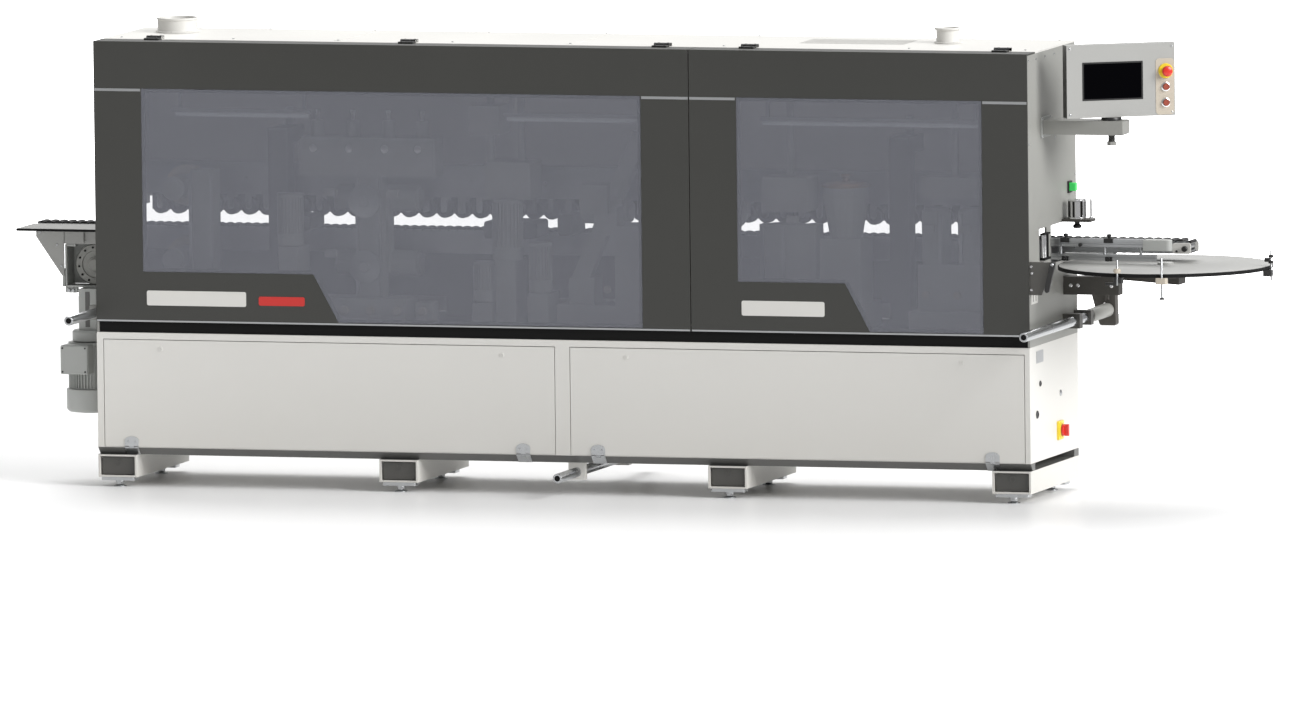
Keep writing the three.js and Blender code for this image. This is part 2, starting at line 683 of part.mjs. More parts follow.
const GREEN_BUTTON = { y: 543, z: 1137 };
const buttonAt = [GREEN_BUTTON.y, GREEN_BUTTON.z];
add('side_start_button', bar('x', buttonAt, 15, LENGTH + 3.5, LENGTH + 28, 20), 'green');

// ---------------------------------------------------------------- controls
const ARM = { end: 3953, y: [186, 284], z: [1363, 1416] };
const PIVOT = [3900, 235];
const CONSOLE = { centre: [3927, 248], width: 418, depth: 52, z: [1429, 1701] };

function controlArm() {
  return join(
    box([PLATE_FACE, ARM.end], ARM.y, ARM.z),
    bar('z', PIVOT, 31, ARM.z[1] - 1, CONSOLE.z[0] - GAP, 24),
    bar('z', PIVOT, 12, 1335, ARM.z[0] + 1, 12),
    bar('z', PIVOT, 18, 1322, 1336, 6),
  );
}

// The console and its buttons share one turned group: x across its face, y into it, z up.
const consoleGroup = new THREE.Group();
consoleGroup.position.set(CONSOLE.centre[0], CONSOLE.centre[1], 0);
consoleGroup.rotation.z = PANEL_TURN;
machine.add(consoleGroup);

function addToConsole(name, geometry, finish) {
  const mesh = add(name, geometry, finish);
  consoleGroup.add(mesh);
}

const BUTTON_COLUMN = 172;
const STOP_Z = 1596;
const FACE = -CONSOLE.depth / 2;
const BUTTON_Z = { start: 1537, stop: 1478 };
const SCREEN = { x: [-149, 85], z: [1493, 1636] };

function consoleCase() {
  const half = CONSOLE.width / 2;
  const wall = 4;
  const [low, high] = CONSOLE.z;
  return cut(
    join(
      box([-half, half], [FACE, -FACE], CONSOLE.z),
      bar('y', [BUTTON_COLUMN, STOP_Z], 10, FACE - 8, FACE + 1, 16),
    ),
    box([wall - half, half - wall], [FACE + wall, 1 - FACE], [low + wall, high - wall]),
    box(SCREEN.x, [FACE - 1, FACE + 2], SCREEN.z),
  );
}

addToConsole('control_console', consoleCase(), 'plateGrey');
const stopCap = turned([[0, 0], [13, 0], [20, 7], [20, 13], [14, 19], [0, 21]], 0, 0, 24);
stopCap.rotateX(Math.PI / 2).translate(BUTTON_COLUMN, FACE - 16, STOP_Z);
addToConsole('emergency_stop', stopCap, 'red');
for (const [name, z] of Object.entries(BUTTON_Z)) {
  const cap = bar('y', [BUTTON_COLUMN, z], 12.5, FACE - 15, FACE - 4.5, 20);
  addToConsole(`${name}_button`, cap, 'buttonRed');
}
add('control_arm', controlArm(), 'motorGrey');

const SWITCH = { y: 385, z: 241 };

function switchHandle() {
  const face = LENGTH + 13;
  const at = [SWITCH.y, SWITCH.z];
  return join(
    bar('x', at, 22, face, face + 10, 24),
    box([face + 9, face + 24], [SWITCH.y - 7, SWITCH.y + 7], [SWITCH.z - 22, SWITCH.z + 22]),
  );
}

add('main_switch_handle', switchHandle(), 'red');

// ---------------------------------------------------------------- drawn-out panel support
const RAIL_Z = [850, 900];

// Rod with the cast upright that carries the rail; lean is the upright's wide side at the top.
function supportArm(x, lean) {
  const top = RAIL_Z[0] - GAP;
  const wide = [x + lean[0], x + lean[1]];
  const upright = [[x - 33, 584], [x + 33, 584], [wide[1], top], [wide[0], top]];
  return join(
    bar('y', [x, ROD_HEIGHT], ROD_RADIUS, ROD_FRONT, RAIL_FRONT + 10),
    bar('y', [x, ROD_HEIGHT], 26, 660, RAIL_FRONT + 5, 20),
    prism('y', upright, RAIL_FRONT, RAIL_REAR),
  );
}

function centreLeg() {
  const post = [CENTRE_ROD_X - 25, CENTRE_ROD_X + 25];
  return join(
    bar('y', [CENTRE_ROD_X, CENTRE_ROD_Z], ROD_RADIUS, ROD_FRONT, RAIL_FRONT + 10),
    box(post, [RAIL_FRONT, RAIL_REAR], [CENTRE_ROD_Z - 25, RAIL_Z[0] - GAP]),
  );
}

add('support_arm_infeed', supportArm(ROD_X.infeed, [-100, 28]), 'castDark');
add('support_arm_outfeed', supportArm(ROD_X.outfeed, [-28, 100]), 'castDark');
add('support_leg_centre', centreLeg(), 'castDark');
const railEnds = [ROD_X.outfeed - 25, ROD_X.infeed + 25];
add('support_rail', box(railEnds, [RAIL_FRONT, RAIL_REAR], RAIL_Z), 'plateGrey');

// ---------------------------------------------------------------- place the machine on its origin
const model = new THREE.Group();
model.add(machine);
const extent = new THREE.Box3().setFromObject(machine, true);
machine.position.set(-(extent.min.x + extent.max.x) / 2, -(extent.min.y + extent.max.y) / 2, -extent.min.z);

export default model;
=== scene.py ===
"""Looks of an edge banding machine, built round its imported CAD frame.

Sizes below are millimetres in the machine's own terms, as in its design: X from the hood's outfeed end,
Y from its front face, Z from the floor. Shape.make() turns them into metres in the row frame.
"""
import json
import math
import random

import bmesh
import bpy
from mathutils import Matrix, Vector

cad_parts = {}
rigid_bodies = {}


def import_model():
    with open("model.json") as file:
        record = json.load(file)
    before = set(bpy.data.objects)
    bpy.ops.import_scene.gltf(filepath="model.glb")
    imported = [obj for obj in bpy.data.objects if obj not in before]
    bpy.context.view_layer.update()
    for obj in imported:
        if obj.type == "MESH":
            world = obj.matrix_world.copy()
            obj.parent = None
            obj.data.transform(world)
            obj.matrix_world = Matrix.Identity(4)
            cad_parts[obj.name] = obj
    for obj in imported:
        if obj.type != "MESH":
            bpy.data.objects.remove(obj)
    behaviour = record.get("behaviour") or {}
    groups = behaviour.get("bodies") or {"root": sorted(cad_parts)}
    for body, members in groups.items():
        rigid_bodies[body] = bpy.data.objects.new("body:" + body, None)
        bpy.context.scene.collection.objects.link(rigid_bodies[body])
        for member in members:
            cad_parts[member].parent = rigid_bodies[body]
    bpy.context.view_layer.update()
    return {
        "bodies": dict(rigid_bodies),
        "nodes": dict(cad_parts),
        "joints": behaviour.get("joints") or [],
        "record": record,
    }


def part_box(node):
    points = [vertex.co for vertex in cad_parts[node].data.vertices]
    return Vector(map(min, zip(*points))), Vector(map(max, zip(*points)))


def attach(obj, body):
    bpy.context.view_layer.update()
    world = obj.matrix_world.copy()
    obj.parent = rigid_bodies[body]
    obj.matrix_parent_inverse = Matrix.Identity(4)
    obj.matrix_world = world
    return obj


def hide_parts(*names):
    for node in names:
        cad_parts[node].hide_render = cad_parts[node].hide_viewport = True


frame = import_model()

MM = 0.001
NODES = frame["nodes"]
ZERO = Vector((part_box("hood_door_outfeed")[0].x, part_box("hood_door_outfeed")[0].y, 0.0))
CHANCE = random.Random(11)

LENGTH = 3643
FRAME = "machine_frame"
INFEED_FACE = LENGTH + 0.4  # where parts on the infeed plate begin
REAR_FACE = 640
BED_FACE = 622.6  # where parts on the bed begin
WHEEL_AXIS = 1022.5  # height of the pressure wheels' axles
WHEEL_FACES = (453, 487)
WHEEL_RADIUS = 32.5
SHARP_FROM = 38  # degrees between two faces from which their edge is drawn sharp


# ------------------------------------------------------------------ camera, light, floor
def place(x, y, z):
    """A point of the machine, from millimetres to the row frame."""
    return ZERO + Vector((x, y, z)) * MM


def make_camera():
    """Long lens, so that the view is nearly without perspective."""
    azimuth, elevation, roll = (math.radians(a) for a in (17.1, 5.43, 0.65))
    width_seen = 4.865
    data = bpy.data.cameras.new("camera")
    data.sensor_width = 36
    data.lens = 800
    camera = bpy.data.objects.new("camera", data)
    distance = width_seen / data.sensor_width * data.lens
    back = Vector((
        math.sin(azimuth) * math.cos(elevation),
        -math.cos(azimuth) * math.cos(elevation),
        math.sin(elevation),
    ))
    turn = (-back).to_track_quat("-Z", "Y").to_matrix() @ Matrix.Rotation(-roll, 3, "Z")
    camera.matrix_world = Matrix.Translation(place(2013.5, 497.5, 451) + back * distance) @ turn.to_4x4()
    data.clip_start = 1.0
    data.clip_end = 400.0
    bpy.context.scene.collection.objects.link(camera)
    bpy.context.scene.camera = camera


def sun(name, direction, strength, softness):
    """Even light from a direction, given as the way from the object to the lamp."""
    data = bpy.data.lights.new(name, "SUN")
    data.energy = strength
    data.angle = math.radians(softness)
    light = bpy.data.objects.new(name, data)
    light.rotation_euler = Vector(direction).to_track_quat("Z", "Y").to_euler()
    bpy.context.scene.collection.objects.link(light)


def make_light():
    """White studio: an even surround, strong light on the infeed end, soft from above and behind."""
    sun("key_infeed", (1.0, -0.27, 0.5), 3.3, 35)
    sun("top_soft", (0.0, 0.1, 1.0), 0.3, 60)
    sun("rear_soft", (-0.15, 0.7, 1.0), 2.2, 45)
    world = bpy.data.worlds.new("studio")
    world.use_nodes = True
    nodes, links = world.node_tree.nodes, world.node_tree.links
    surround = nodes["Background"]
    surround.inputs["Color"].default_value = (1, 1, 1, 1)
    surround.inputs["Strength"].default_value = 0.42
    backdrop = nodes.new("ShaderNodeBackground")
    backdrop.inputs["Color"].default_value = (1, 1, 1, 1)
    backdrop.inputs["Strength"].default_value = 3.2
    paths = nodes.new("ShaderNodeLightPath")
    mix = nodes.new("ShaderNodeMixShader")
    links.new(paths.outputs["Is Camera Ray"], mix.inputs[0])
    links.new(surround.outputs[0], mix.inputs[1])
    links.new(backdrop.outputs[0], mix.inputs[2])
    links.new(mix.outputs[0], nodes["World Output"].inputs["Surface"])
    bpy.context.scene.world = world
    bpy.context.scene.view_settings.view_transform = "Standard"


def make_floor():
    half = 7.0
    mesh = bpy.data.meshes.new("floor")
    corners = [(-half, -half, 0), (half, -half, 0), (half, half, 0), (-half, half, 0)]
    mesh.from_pydata(corners, [], [(0, 1, 2, 3)])
    floor = bpy.data.objects.new("floor", mesh)
    bpy.context.scene.collection.objects.link(floor)
    paint = surface("studio_floor", (0.95, 0.95, 0.95), 0.35, bump=0.0, variation=0.0, spread=0.01)
    mesh.materials.append(paint.material)


# ------------------------------------------------------------------ materials
SURFACES = {}


class Finish:
    """A material's nodes, with short ways to add and join them."""

    def __init__(self, name):
        self.material = bpy.data.materials.new(name)
        self.material.use_nodes = True
        self.nodes, self.links = self.material.node_tree.nodes, self.material.node_tree.links
        self.inputs = self.nodes["Principled BSDF"].inputs

    def put(self, socket, value):
        """Links an input to another node's output, or sets it to a plain value."""
        if hasattr(value, "links"):
            self.links.new(value, socket)
        else:
            socket.default_value = value

    def add(self, kind, inputs, output=0, **settings):
        node = self.nodes.new("ShaderNode" + kind)
        for setting, value in settings.items():
            setattr(node, setting, value)
        for key, value in inputs.items():
            self.put(node.inputs[key], value)
        return node.outputs[output]

    def blend(self, factor, first, second, mode="MIX"):
        return self.add("Mix", {0: factor, 6: first, 7: second}, 2, data_type="RGBA", blend_type=mode)


def surface(name, colour, roughness, metallic=0.0, grain=400, bump=0.04, variation=0.05, spread=0.08,
            stretch=(1, 1, 1), coat=0.0, dust=0.0, edge=0.0):
    """One finish: a fine grain for bump, a slow cloud for colour and roughness, dust and worn edges."""
    finish = Finish(name)
    add, shader = finish.add, finish.inputs
    shader["Metallic"].default_value = metallic
    shader["Coat Weight"].default_value = coat
    shader["Coat Roughness"].default_value = 0.15
    place_on = add("TexCoord", {}, "Object")
    scaled = add("Mapping", {"Vector": place_on, "Scale": stretch})
    cloud = add("TexNoise", {"Vector": scaled, "Scale": 2.3, "Detail": 5}, "Fac")
    shade = add("MapRange", {"Value": cloud, "To Min": 1 - variation, "To Max": 1 + variation})
    base = finish.blend(1.0, (*colour, 1), shade, "MULTIPLY")
    if dust:
        height = add("SeparateXYZ", {0: place_on}, "Z")
        near_floor = add("MapRange", {"Value": height, "From Min": 0.45, "From Max": 0.0, "To Max": dust})
        patchy = add("Math", {0: near_floor, 1: cloud}, operation="MULTIPLY")
        base = finish.blend(patchy, base, (0.42, 0.38, 0.32, 1))
    if edge:
        rounded = finish.nodes.new("ShaderNodeBevel")
        rounded.samples = 4
        rounded.inputs["Radius"].default_value = 0.003
        flat = add("NewGeometry", {}, "Normal")
        match = add("VectorMath", {0: rounded.outputs["Normal"], 1: flat}, "Value", operation="DOT_PRODUCT")
        worn = add("MapRange", {"Value": match, "From Min": 0.985, "From Max": 0.75, "To Max": edge})
        lighter = tuple(min(1.0, c * 1.6 + 0.06) for c in colour)
        base = finish.blend(worn, base, (*lighter, 1))
    finish.put(shader["Base Color"], base)
    glossy, dull = max(0.02, roughness - spread), min(1.0, roughness + spread)
    finish.put(shader["Roughness"], add("MapRange", {"Value": cloud, "To Min": glossy, "To Max": dull}))
    if bump:
        fine = add("TexNoise", {"Vector": scaled, "Scale": grain, "Detail": 3}, "Fac")
        finish.put(shader["Normal"], add("Bump", {"Strength": bump, "Distance": 0.0006, "Height": fine}))
    SURFACES[name] = finish.material
    return finish


def two_tone_and_shade(name, first, second, axis, beyond, **more):
    """One part in two colours from a place along X, Y or Z, given in metres: the second is a dark paint on
    the infeed plate and painted shade on the base frame.
    """
    finish = surface(name, first, 0.42, grain=700, bump=0.10, **more)
    painted = finish.inputs["Base Color"].links[0].from_socket
    along_axis = finish.add("SeparateXYZ", {0: finish.add("TexCoord", {}, "Object")}, axis)
    step = finish.add("Math", {0: along_axis, 1: beyond}, operation="GREATER_THAN")
    finish.put(finish.inputs["Base Color"], finish.blend(step, painted, (*second, 1)))


def tinted_acrylic(name):
    """Grey see-through sheet with a light haze of fine scratches; a ray meets it twice, at both faces."""
    sheet = surface(name, (0.215, 0.222, 0.256), 0.16, grain=900, bump=0.01, variation=0.03, spread=0.05)
    sheet.inputs["Alpha"].default_value = 0.50
    sheet.inputs["IOR"].default_value = 1.49


def glowing(name, colour, strength, roughness=0.3):
    lamp = surface(name, colour, roughness, grain=300, bump=0.01, variation=0.02)
    lamp.inputs["Emission Color"].default_value = (*colour, 1)
    lamp.inputs["Emission Strength"].default_value = strength


def make_materials():
    plastic = dict(grain=900, bump=0.03, variation=0.02)
    surface("light_paint", (0.66, 0.65, 0.62), 0.42, grain=700, bump=0.10, variation=0.02, dust=0.25)
    surface("plate_grey", (0.28, 0.28, 0.262), 0.40, grain=700, bump=0.10, variation=0.03)
    surface("console_grey", (0.355, 0.355, 0.342), 0.42, grain=900, bump=0.10, variation=0.02)
    surface("charcoal", (0.038, 0.038, 0.034), 0.42, grain=900, bump=0.12, variation=0.04)
    # Near black matt steel for black parts. On the machine bed it is painted shade for the recess under the
    # hood doors.
    matt = surface("black_steel", (0.009, 0.009, 0.009), 0.7, grain=500, bump=0.15, variation=0.1, edge=0.08)
    matt.inputs["Specular IOR Level"].default_value = 0.12
    surface("cast_dark", (0.062, 0.058, 0.052), 0.55, metallic=0.2, grain=260, bump=0.45, variation=0.12,
        edge=0.5)
    # Channel ends: near black as painted shade for the shaded inside of the base channels, with some dust
    # near the floor.
    surface("channel_end_shade_and_dust", (0.058, 0.058, 0.055), 0.5, grain=500, bump=0.15, variation=0.08, dust=0.1)
    surface("frame_dark", (0.115, 0.115, 0.11), 0.5, grain=500, bump=0.15, variation=0.08, dust=0.4)
    surface("machined", (0.48, 0.49, 0.50), 0.30, metallic=1.0, grain=260, bump=0.12, stretch=(0.15, 1, 1))
    surface("turned_steel", (0.50, 0.51, 0.52), 0.28, metallic=1.0, grain=420, bump=0.10, stretch=(1, 1, 0.2))
    surface("motor_grey", (0.41, 0.42, 0.405), 0.45, metallic=0.1, grain=350, bump=0.25, variation=0.08,
        edge=0.4)
    surface("beam_aluminium", (0.42, 0.43, 0.44), 0.35, metallic=0.9, grain=300, bump=0.08,
        stretch=(0.05, 1, 1))
    surface("pad_rubber", (0.018, 0.018, 0.018), 0.75, grain=600, bump=0.5, variation=0.2)
    surface("chrome", (0.80, 0.80, 0.81), 0.08, metallic=1.0, grain=300, bump=0.01, variation=0.01,
        spread=0.03)
    surface("red_plastic", (0.62, 0.02, 0.008), 0.28, coat=0.3, **plastic)
    surface("yellow_plastic", (0.80, 0.60, 0.03), 0.32, coat=0.2, **plastic)
    surface("cream_plastic", (0.48, 0.43, 0.355), 0.35, **plastic)
    surface("black_plastic", (0.014, 0.014, 0.014), 0.38, grain=1100, bump=0.12, variation=0.05)
    surface("button_brown", (0.30, 0.055, 0.03), 0.30, grain=900, bump=0.03, variation=0.03, coat=0.3)
    screen = surface("screen_glass", (0.0015, 0.0015, 0.002), 0.12, grain=900, bump=0.0, variation=0.01,
        spread=0.02)
    screen.inputs["Specular IOR Level"].default_value = 0.01
    surface("red_accent", (0.55, 0.025, 0.02), 0.35, grain=900, bump=0.05, variation=0.02)
    surface("copper_pot", (0.35, 0.20, 0.10), 0.4, metallic=0.9, grain=300, bump=0.15, variation=0.12)
    surface("cloth_wheel", (0.62, 0.57, 0.45), 0.9, grain=250, bump=0.9, variation=0.12)
    two_tone_and_shade("infeed_plate", (0.28, 0.28, 0.262), (0.075, 0.072, 0.066), "X", ZERO.x + INFEED_FACE * MM)
    # Base frame: light paint below 121.5 mm. Above it, the front sill and the rear rail are dark as painted
    # shade for the sill, which faces down into shadow.
    two_tone_and_shade("frame_paint_and_sill_shade", (0.62, 0.61, 0.58), (0.115, 0.115, 0.11), "Z", 121.5 * MM, variation=0.05,
        dust=0.25)
    tinted_acrylic("window")
    glowing("green_plastic", (0.03, 0.42, 0.08), 0.6)
    glowing("lamp_tube", (0.9, 0.95, 1.0), 0.05)


# ------------------------------------------------------------------ shape kit
def circle(sides, radius, start=0.0):
    return [
        (radius * math.cos(start + 2 * math.pi * k / sides),
            radius * math.sin(start + 2 * math.pi * k / sides))
        for k in range(sides)
    ]


def along(axis, u, v, w):
    """A point from its two cross coordinates, in X, Y, Z order, and its place along the axis."""
    return {"x": (w, u, v), "y": (u, w, v), "z": (u, v, w)}[axis]


def around(at, sides, radius, start=0.0):
    """Points spaced evenly on a circle round a point."""
    return [(at[0] + u, at[1] + v) for u, v in circle(sides, radius, start)]


def grid(us, vs):
    return [(u, v) for u in us for v in vs]


def ring(axis, at, sides, radius, w):
    return [along(axis, u, v, w) for u, v in around(at, sides, radius)]


class Shape:
    """Closed shells in one mesh, in millimetres of the machine, or of a turned group if place says so."""

    def __init__(self, place=None):
        self.bm = bmesh.new()
        self.place = place or Matrix.Identity(4)

    def shell(self, rings, loop=False):
        """Skins a list of rings of equal length; loop also joins the last ring to the first."""
        made = [[self.bm.verts.new(point) for point in ring] for ring in rings]
        pairs = list(zip(made, made[1:] + made[:1])) if loop else list(zip(made, made[1:]))
        count = len(made[0])
        for low, high in pairs:
            for k in range(count):
                nxt = (k + 1) % count
                self.bm.faces.new((low[k], low[nxt], high[nxt], high[k]))
        if not loop:
            self.bm.faces.new(made[0][::-1])
            self.bm.faces.new(made[-1])
        return self

    def box(self, x, y, z):
        return self.prism("z", [(x[0], y[0]), (x[1], y[0]), (x[1], y[1]), (x[0], y[1])], *z)

    def prism(self, axis, outline, low, high):
        return self.shell([[along(axis, u, v, w) for u, v in outline] for w in (low, high)])

    def plate(self, axis, x, y, radius, low, high):
        """A prism with a rounded rectangle for its outline."""
        return self.prism(axis, rounded_rectangle(x, y, radius), low, high)

    def bar(self, axis, at, radius, low, high, sides=32):
        return self.shell([ring(axis, at, sides, radius, w) for w in (low, high)])

    def turned(self, axis, at, profile, sides=48):
        """A lathed shell; profile holds (radius, place along the axis), open at both ends on the axis."""
        return self.shell([ring(axis, at, sides, max(radius, 0.01), w) for radius, w in profile])

    def hoop(self, axis, at, profile, sides=48):
        """A lathed ring; profile is a closed outline away from the axis."""
        return self.shell([ring(axis, at, sides, radius, w) for radius, w in profile], loop=True)

    def screw(self, axis, at, height, radius=5, thick=3.2, out=-1):
        """Socket screw head that stands out of a face; out is the way it faces along the axis."""
        self.turned(axis, at, [
            (0, height), (radius, height), (radius, height + out * thick * 0.7),
            (radius * 0.8, height + out * thick), (radius * 0.45, height + out * thick),
            (radius * 0.45, height + out * thick * 0.45), (0, height + out * thick * 0.45),
        ], sides=18)
        return self

    def screws(self, axis, spots, height, **size):
        for spot in spots:
            self.screw(axis, spot, height, **size)
        return self

    def make(self, name, finish, body=FRAME, bevel=0.8, replaces=(), slot=None):
        bmesh.ops.recalc_face_normals(self.bm, faces=self.bm.faces[:])
        mesh = bpy.data.meshes.new(name)
        self.bm.to_mesh(mesh)
        self.bm.free()
        to_row = Matrix.Translation(ZERO) @ Matrix.Scale(MM, 4) @ self.place
        mesh.transform(to_row)
        mesh.shade_smooth()
        mesh.set_sharp_from_angle(angle=math.radians(SHARP_FROM))
        mesh.materials.append(SURFACES[finish])
        piece = bpy.data.objects.new(name, mesh)
        bpy.context.scene.collection.objects.link(piece)
        if bevel:
            round_edges(piece, bevel)
        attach(piece, body)
        if replaces:
            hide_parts(*replaces)
        return piece


def round_edges(piece, width):
    modifier = piece.modifiers.new("rounded_edges", "BEVEL")
    modifier.width = width * MM
    modifier.segments = 2
    modifier.limit_method = "ANGLE"
    modifier.angle_limit = math.radians(40)
    modifier.harden_normals = True


def rounded_rectangle(x, y, radius, steps=5):
    corners = [(x[1], y[1], 0), (x[0], y[1], 1), (x[0], y[0], 2), (x[1], y[0], 3)]
    outline = []
    for cx, cy, quarter in corners:
        mx = cx - radius if quarter in (0, 3) else cx + radius
        my = cy - radius if quarter in (0, 1) else cy + radius
        for k in range(steps + 1):
            turn = math.pi / 2 * (quarter + k / steps)
            outline.append((mx + radius * math.cos(turn), my + radius * math.sin(turn)))
    return outline


# ------------------------------------------------------------------ finishes of the CAD nodes
def dress_cad_nodes():
    """Gives each node that stays in view its finish and slightly rounded edges."""
    looks = {
        # Base frame: its dark part above 121.5 mm is painted shade.
        ("frame_paint_and_sill_shade", 1.5): "base_frame",
        ("light_paint", 1.0): "base_cabinet",
        ("light_paint", 1.2): "base_door_outfeed base_door_infeed",
        ("light_paint", 0.8): "roof_panel rear_cover_upper rear_cover_lower",
        ("infeed_plate", 0.8): "side_plate_infeed",
        ("plate_grey", 0.8): "side_plate_outfeed",
        ("plate_grey", 1.5): "control_arm",
        # The machine bed is near black as painted shade for the shaded gap between the base and the hood
        # doors.
        ("black_steel", 1.0): "machine_bed",
        ("charcoal", 1.2): "hood_door_outfeed hood_door_infeed",
        ("window", 0.4): "hood_window_outfeed hood_window_infeed",
        ("cast_dark", 2.0): "main_beam",
        ("cast_dark", 2.5): "coil_tray_arm",
        ("machined", 0.6): "conveyor_track",
        ("machined", 0.8): "drive_sprocket",
        ("turned_steel", 0.5): "idler_sprocket_infeed idler_sprocket_outfeed",
        ("console_grey", 0.8): "outfeed_table",
        ("console_grey", 2.0): "control_console",
        ("beam_aluminium", 1.5): "pressure_beam",
        ("beam_aluminium", 2.0): "support_rail",
        ("motor_grey", 1.5): "premill_unit glue_unit end_trim_unit flush_trim_unit buffing_unit",
    }
    for (finish, width), names in looks.items():
        for name in names.split():
            node = NODES[name]
            node.data.materials.clear()
            node.data.materials.append(SURFACES[finish])
            round_edges(node, width)


# ------------------------------------------------------------------ outside of the hood and base
LID = {"outfeed": "hood_lid_outfeed", "infeed": "hood_lid_infeed"}
LOW_DOOR = {"outfeed": "low_door_outfeed", "infeed": "low_door_infeed"}


def extent(node):
    """A CAD node's box in the machine's millimetres, as (low, high) along X, Y and Z."""
    low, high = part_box(node)
    return [((low[k] - ZERO[k]) / MM, (high[k] - ZERO[k]) / MM) for k in range(3)]


def make_feet():
    for row in ("front", "rear"):
        for number in range(1, 5):
            node = f"levelling_foot_{row}_{number}"
            x, y, _ = extent(node)
            at = (sum(x) / 2, sum(y) / 2)
            foot = Shape()
            foot.plate("z", x, y, 6, 24, 36.7)
            foot.turned("z", at, [(0, 0), (24, 0), (24, 3), (12, 7), (8, 8), (8, 24), (0, 24)], sides=28)
            foot.bar("z", at, 15, 8, 17, sides=6)
            foot.bar("z", at, 17, 17, 24.4, sides=24)
            foot.make(node + "_look", "turned_steel", bevel=0.6, replaces=(node,), slot="machined")


def make_hood_trim():
    """Bright stripes level with the top of the windows, the lip under the doors and plain plates."""
    stripes = {"outfeed": ((1.5, 184), (2146, 2327)), "infeed": ((2333, 2510), (3470, 3641))}
    lips = {"outfeed": (2, 2326), "infeed": (2334, 3641)}
    for side, runs in stripes.items():
        trim = Shape()
        for run in runs:
            trim.box(run, (-1.0, 0.3), (1490, 1500))
        trim.make(f"hood_stripe_{side}", "machined", LID[side], bevel=0.2)
        lip = Shape().box(lips[side], (-0.8, 0.3), (624, 630))
        lip.make(f"hood_lip_{side}", "machined", LID[side], bevel=0.2)
    plates = {
        "outfeed": (("pale", "light_paint", (200, 590)), ("red", "red_accent", (640, 820))),
        "infeed": (("pale", "light_paint", (2528, 2850)),),
    }
    for side, group in plates.items():
        for tint, finish, x in group:
            z = (686, 742) if tint == "pale" else (692, 726)
            plate = Shape().plate("y", x, z, 7, -1.4, 0.2)
            plate.make(f"blank_plate_{side}_{tint}", finish, LID[side], bevel=0.3)


def window_edges(left, right, low, high, corner):
    """Outline of a window in X and Z; corner is (x on the bottom edge, x where the slope ends, height)."""
    end, start, height = corner
    return [(right, low), (right, high), (left, high), (left, height), (start, height), (end, low)]


WINDOWS = {
    "outfeed": window_edges(186, 2142, 632, 1501, (952, 855, 812)),
    "infeed": window_edges(2514, 3466, 632, 1501, (3025, 2930, 812)),
}


def make_gaskets():
    """Rubber bead round each window, on the inside, and the fixing studs beside it."""
    for side, outline in WINDOWS.items():
        bead = Shape()
        studs = Shape()
        for (ax, az), (bx, bz) in zip(outline, outline[1:] + outline[:1]):
            run = Vector((bx - ax, 0, bz - az))
            way = run.normalized()
            across = Vector((-way.z, 0, way.x))
            a, b = Vector((ax, 0, az)) + across * 7, Vector((bx, 0, bz)) + across * 7
            rings = []
            for end in (a, b):
                rings.append([tuple(end + across * u + Vector((0, v, 0)))
                              for u, v in ((-7, 6.2), (7, 6.2), (7, 9.5), (-7, 9.5))])
            bead.shell(rings)
            count = max(1, int(run.length // 240))
            for k in range(count):
                spot = a + (b - a) * ((k + 0.5) / count)
                studs.bar("y", (spot.x, spot.z), 4, 9.2, 13, sides=14)
        bead.make(f"window_gasket_{side}", "pad_rubber", LID[side], bevel=0)
        studs.make(f"window_studs_{side}", "turned_steel", LID[side], bevel=0.3)


def make_door_frames():
    """Folded stiffeners welded inside the hood doors."""
    spans = {"outfeed": (10, 2324), "infeed": (2336, 3632)}
    for side, (left, right) in spans.items():
        frame = Shape()
        for x in ((left, left + 28), (right - 28, right)):
            frame.box(x, (6.2, 30), (650, 1660))
        frame.box((left + 28.5, right - 28.5), (6.2, 30), (1560, 1590))
        frame.box((left + 28.5, right - 28.5), (10, 60), (1655, 1668))
        frame.make(f"hood_stiffener_{side}", "charcoal", LID[side], bevel=1.0)


def make_roof_hinges():
    centres = {206: "outfeed", 1204: "outfeed", 2195: "outfeed", 2534: "infeed", 3515: "infeed"}
    for number, (x, side) in enumerate(centres.items(), 1):
        fixed = Shape()
        fixed.plate("z", (x - 29.5, x + 29.5), (112, 146), 4, 1677, 1689)
        for low, high in ((-29.5, -10.3), (10.3, 29.5)):
            fixed.bar("x", (110, 1685), 6.8, x + low, x + high, sides=24)
        for dx in (-18, 18):
            fixed.screw("z", (x + dx, 132), 1688.5, radius=4.2, thick=2.4, out=1)
        fixed.make(f"roof_hinge_{number}_fixed", "black_plastic", bevel=0.6)
        moving = Shape()
        moving.plate("z", (x - 29.5, x + 29.5), (70, 104), 4, 1677, 1684)
        moving.bar("x", (110, 1685), 6.8, x - 10, x + 10, sides=24)
        moving.box((x - 10, x + 10), (100, 108), (1678, 1688))
        for dx in (-18, 18):
            moving.screw("z", (x + dx, 84), 1683.6, radius=4.2, thick=2.4, out=1)
        moving.make(f"roof_hinge_{number}_moving", "black_plastic", LID[side], bevel=0.6)


def make_dust_ports():
    for node, at, wall, rim, flange in (
            ("dust_port_outfeed", (188, 449), 75, 78, 83), ("dust_port_infeed", (3207, 445), 43, 50, 51)):
        top = extent(node)[2][1]
        port = Shape()
        port.hoop("z", at, [
            (wall - 4, 1677.4), (flange, 1677.4), (flange, 1681), (wall + 0.6, 1683), (wall, 1686),
            (wall, top - 10), (rim, top - 7), (rim, top - 1), (rim - 1, top), (wall - 2, top),
            (wall - 4, top - 3),
        ], sides=72)
        port.make(f"{node}_look", "light_paint", bevel=0.3, replaces=(node,))
        if flange - wall > 6:
            screws = Shape()
            screws.screws("z", around(at, 8, (flange + wall) / 2), 1680.6, radius=2.6, thick=1.8, out=1)
            screws.make(f"{node}_screws", "turned_steel", bevel=0)


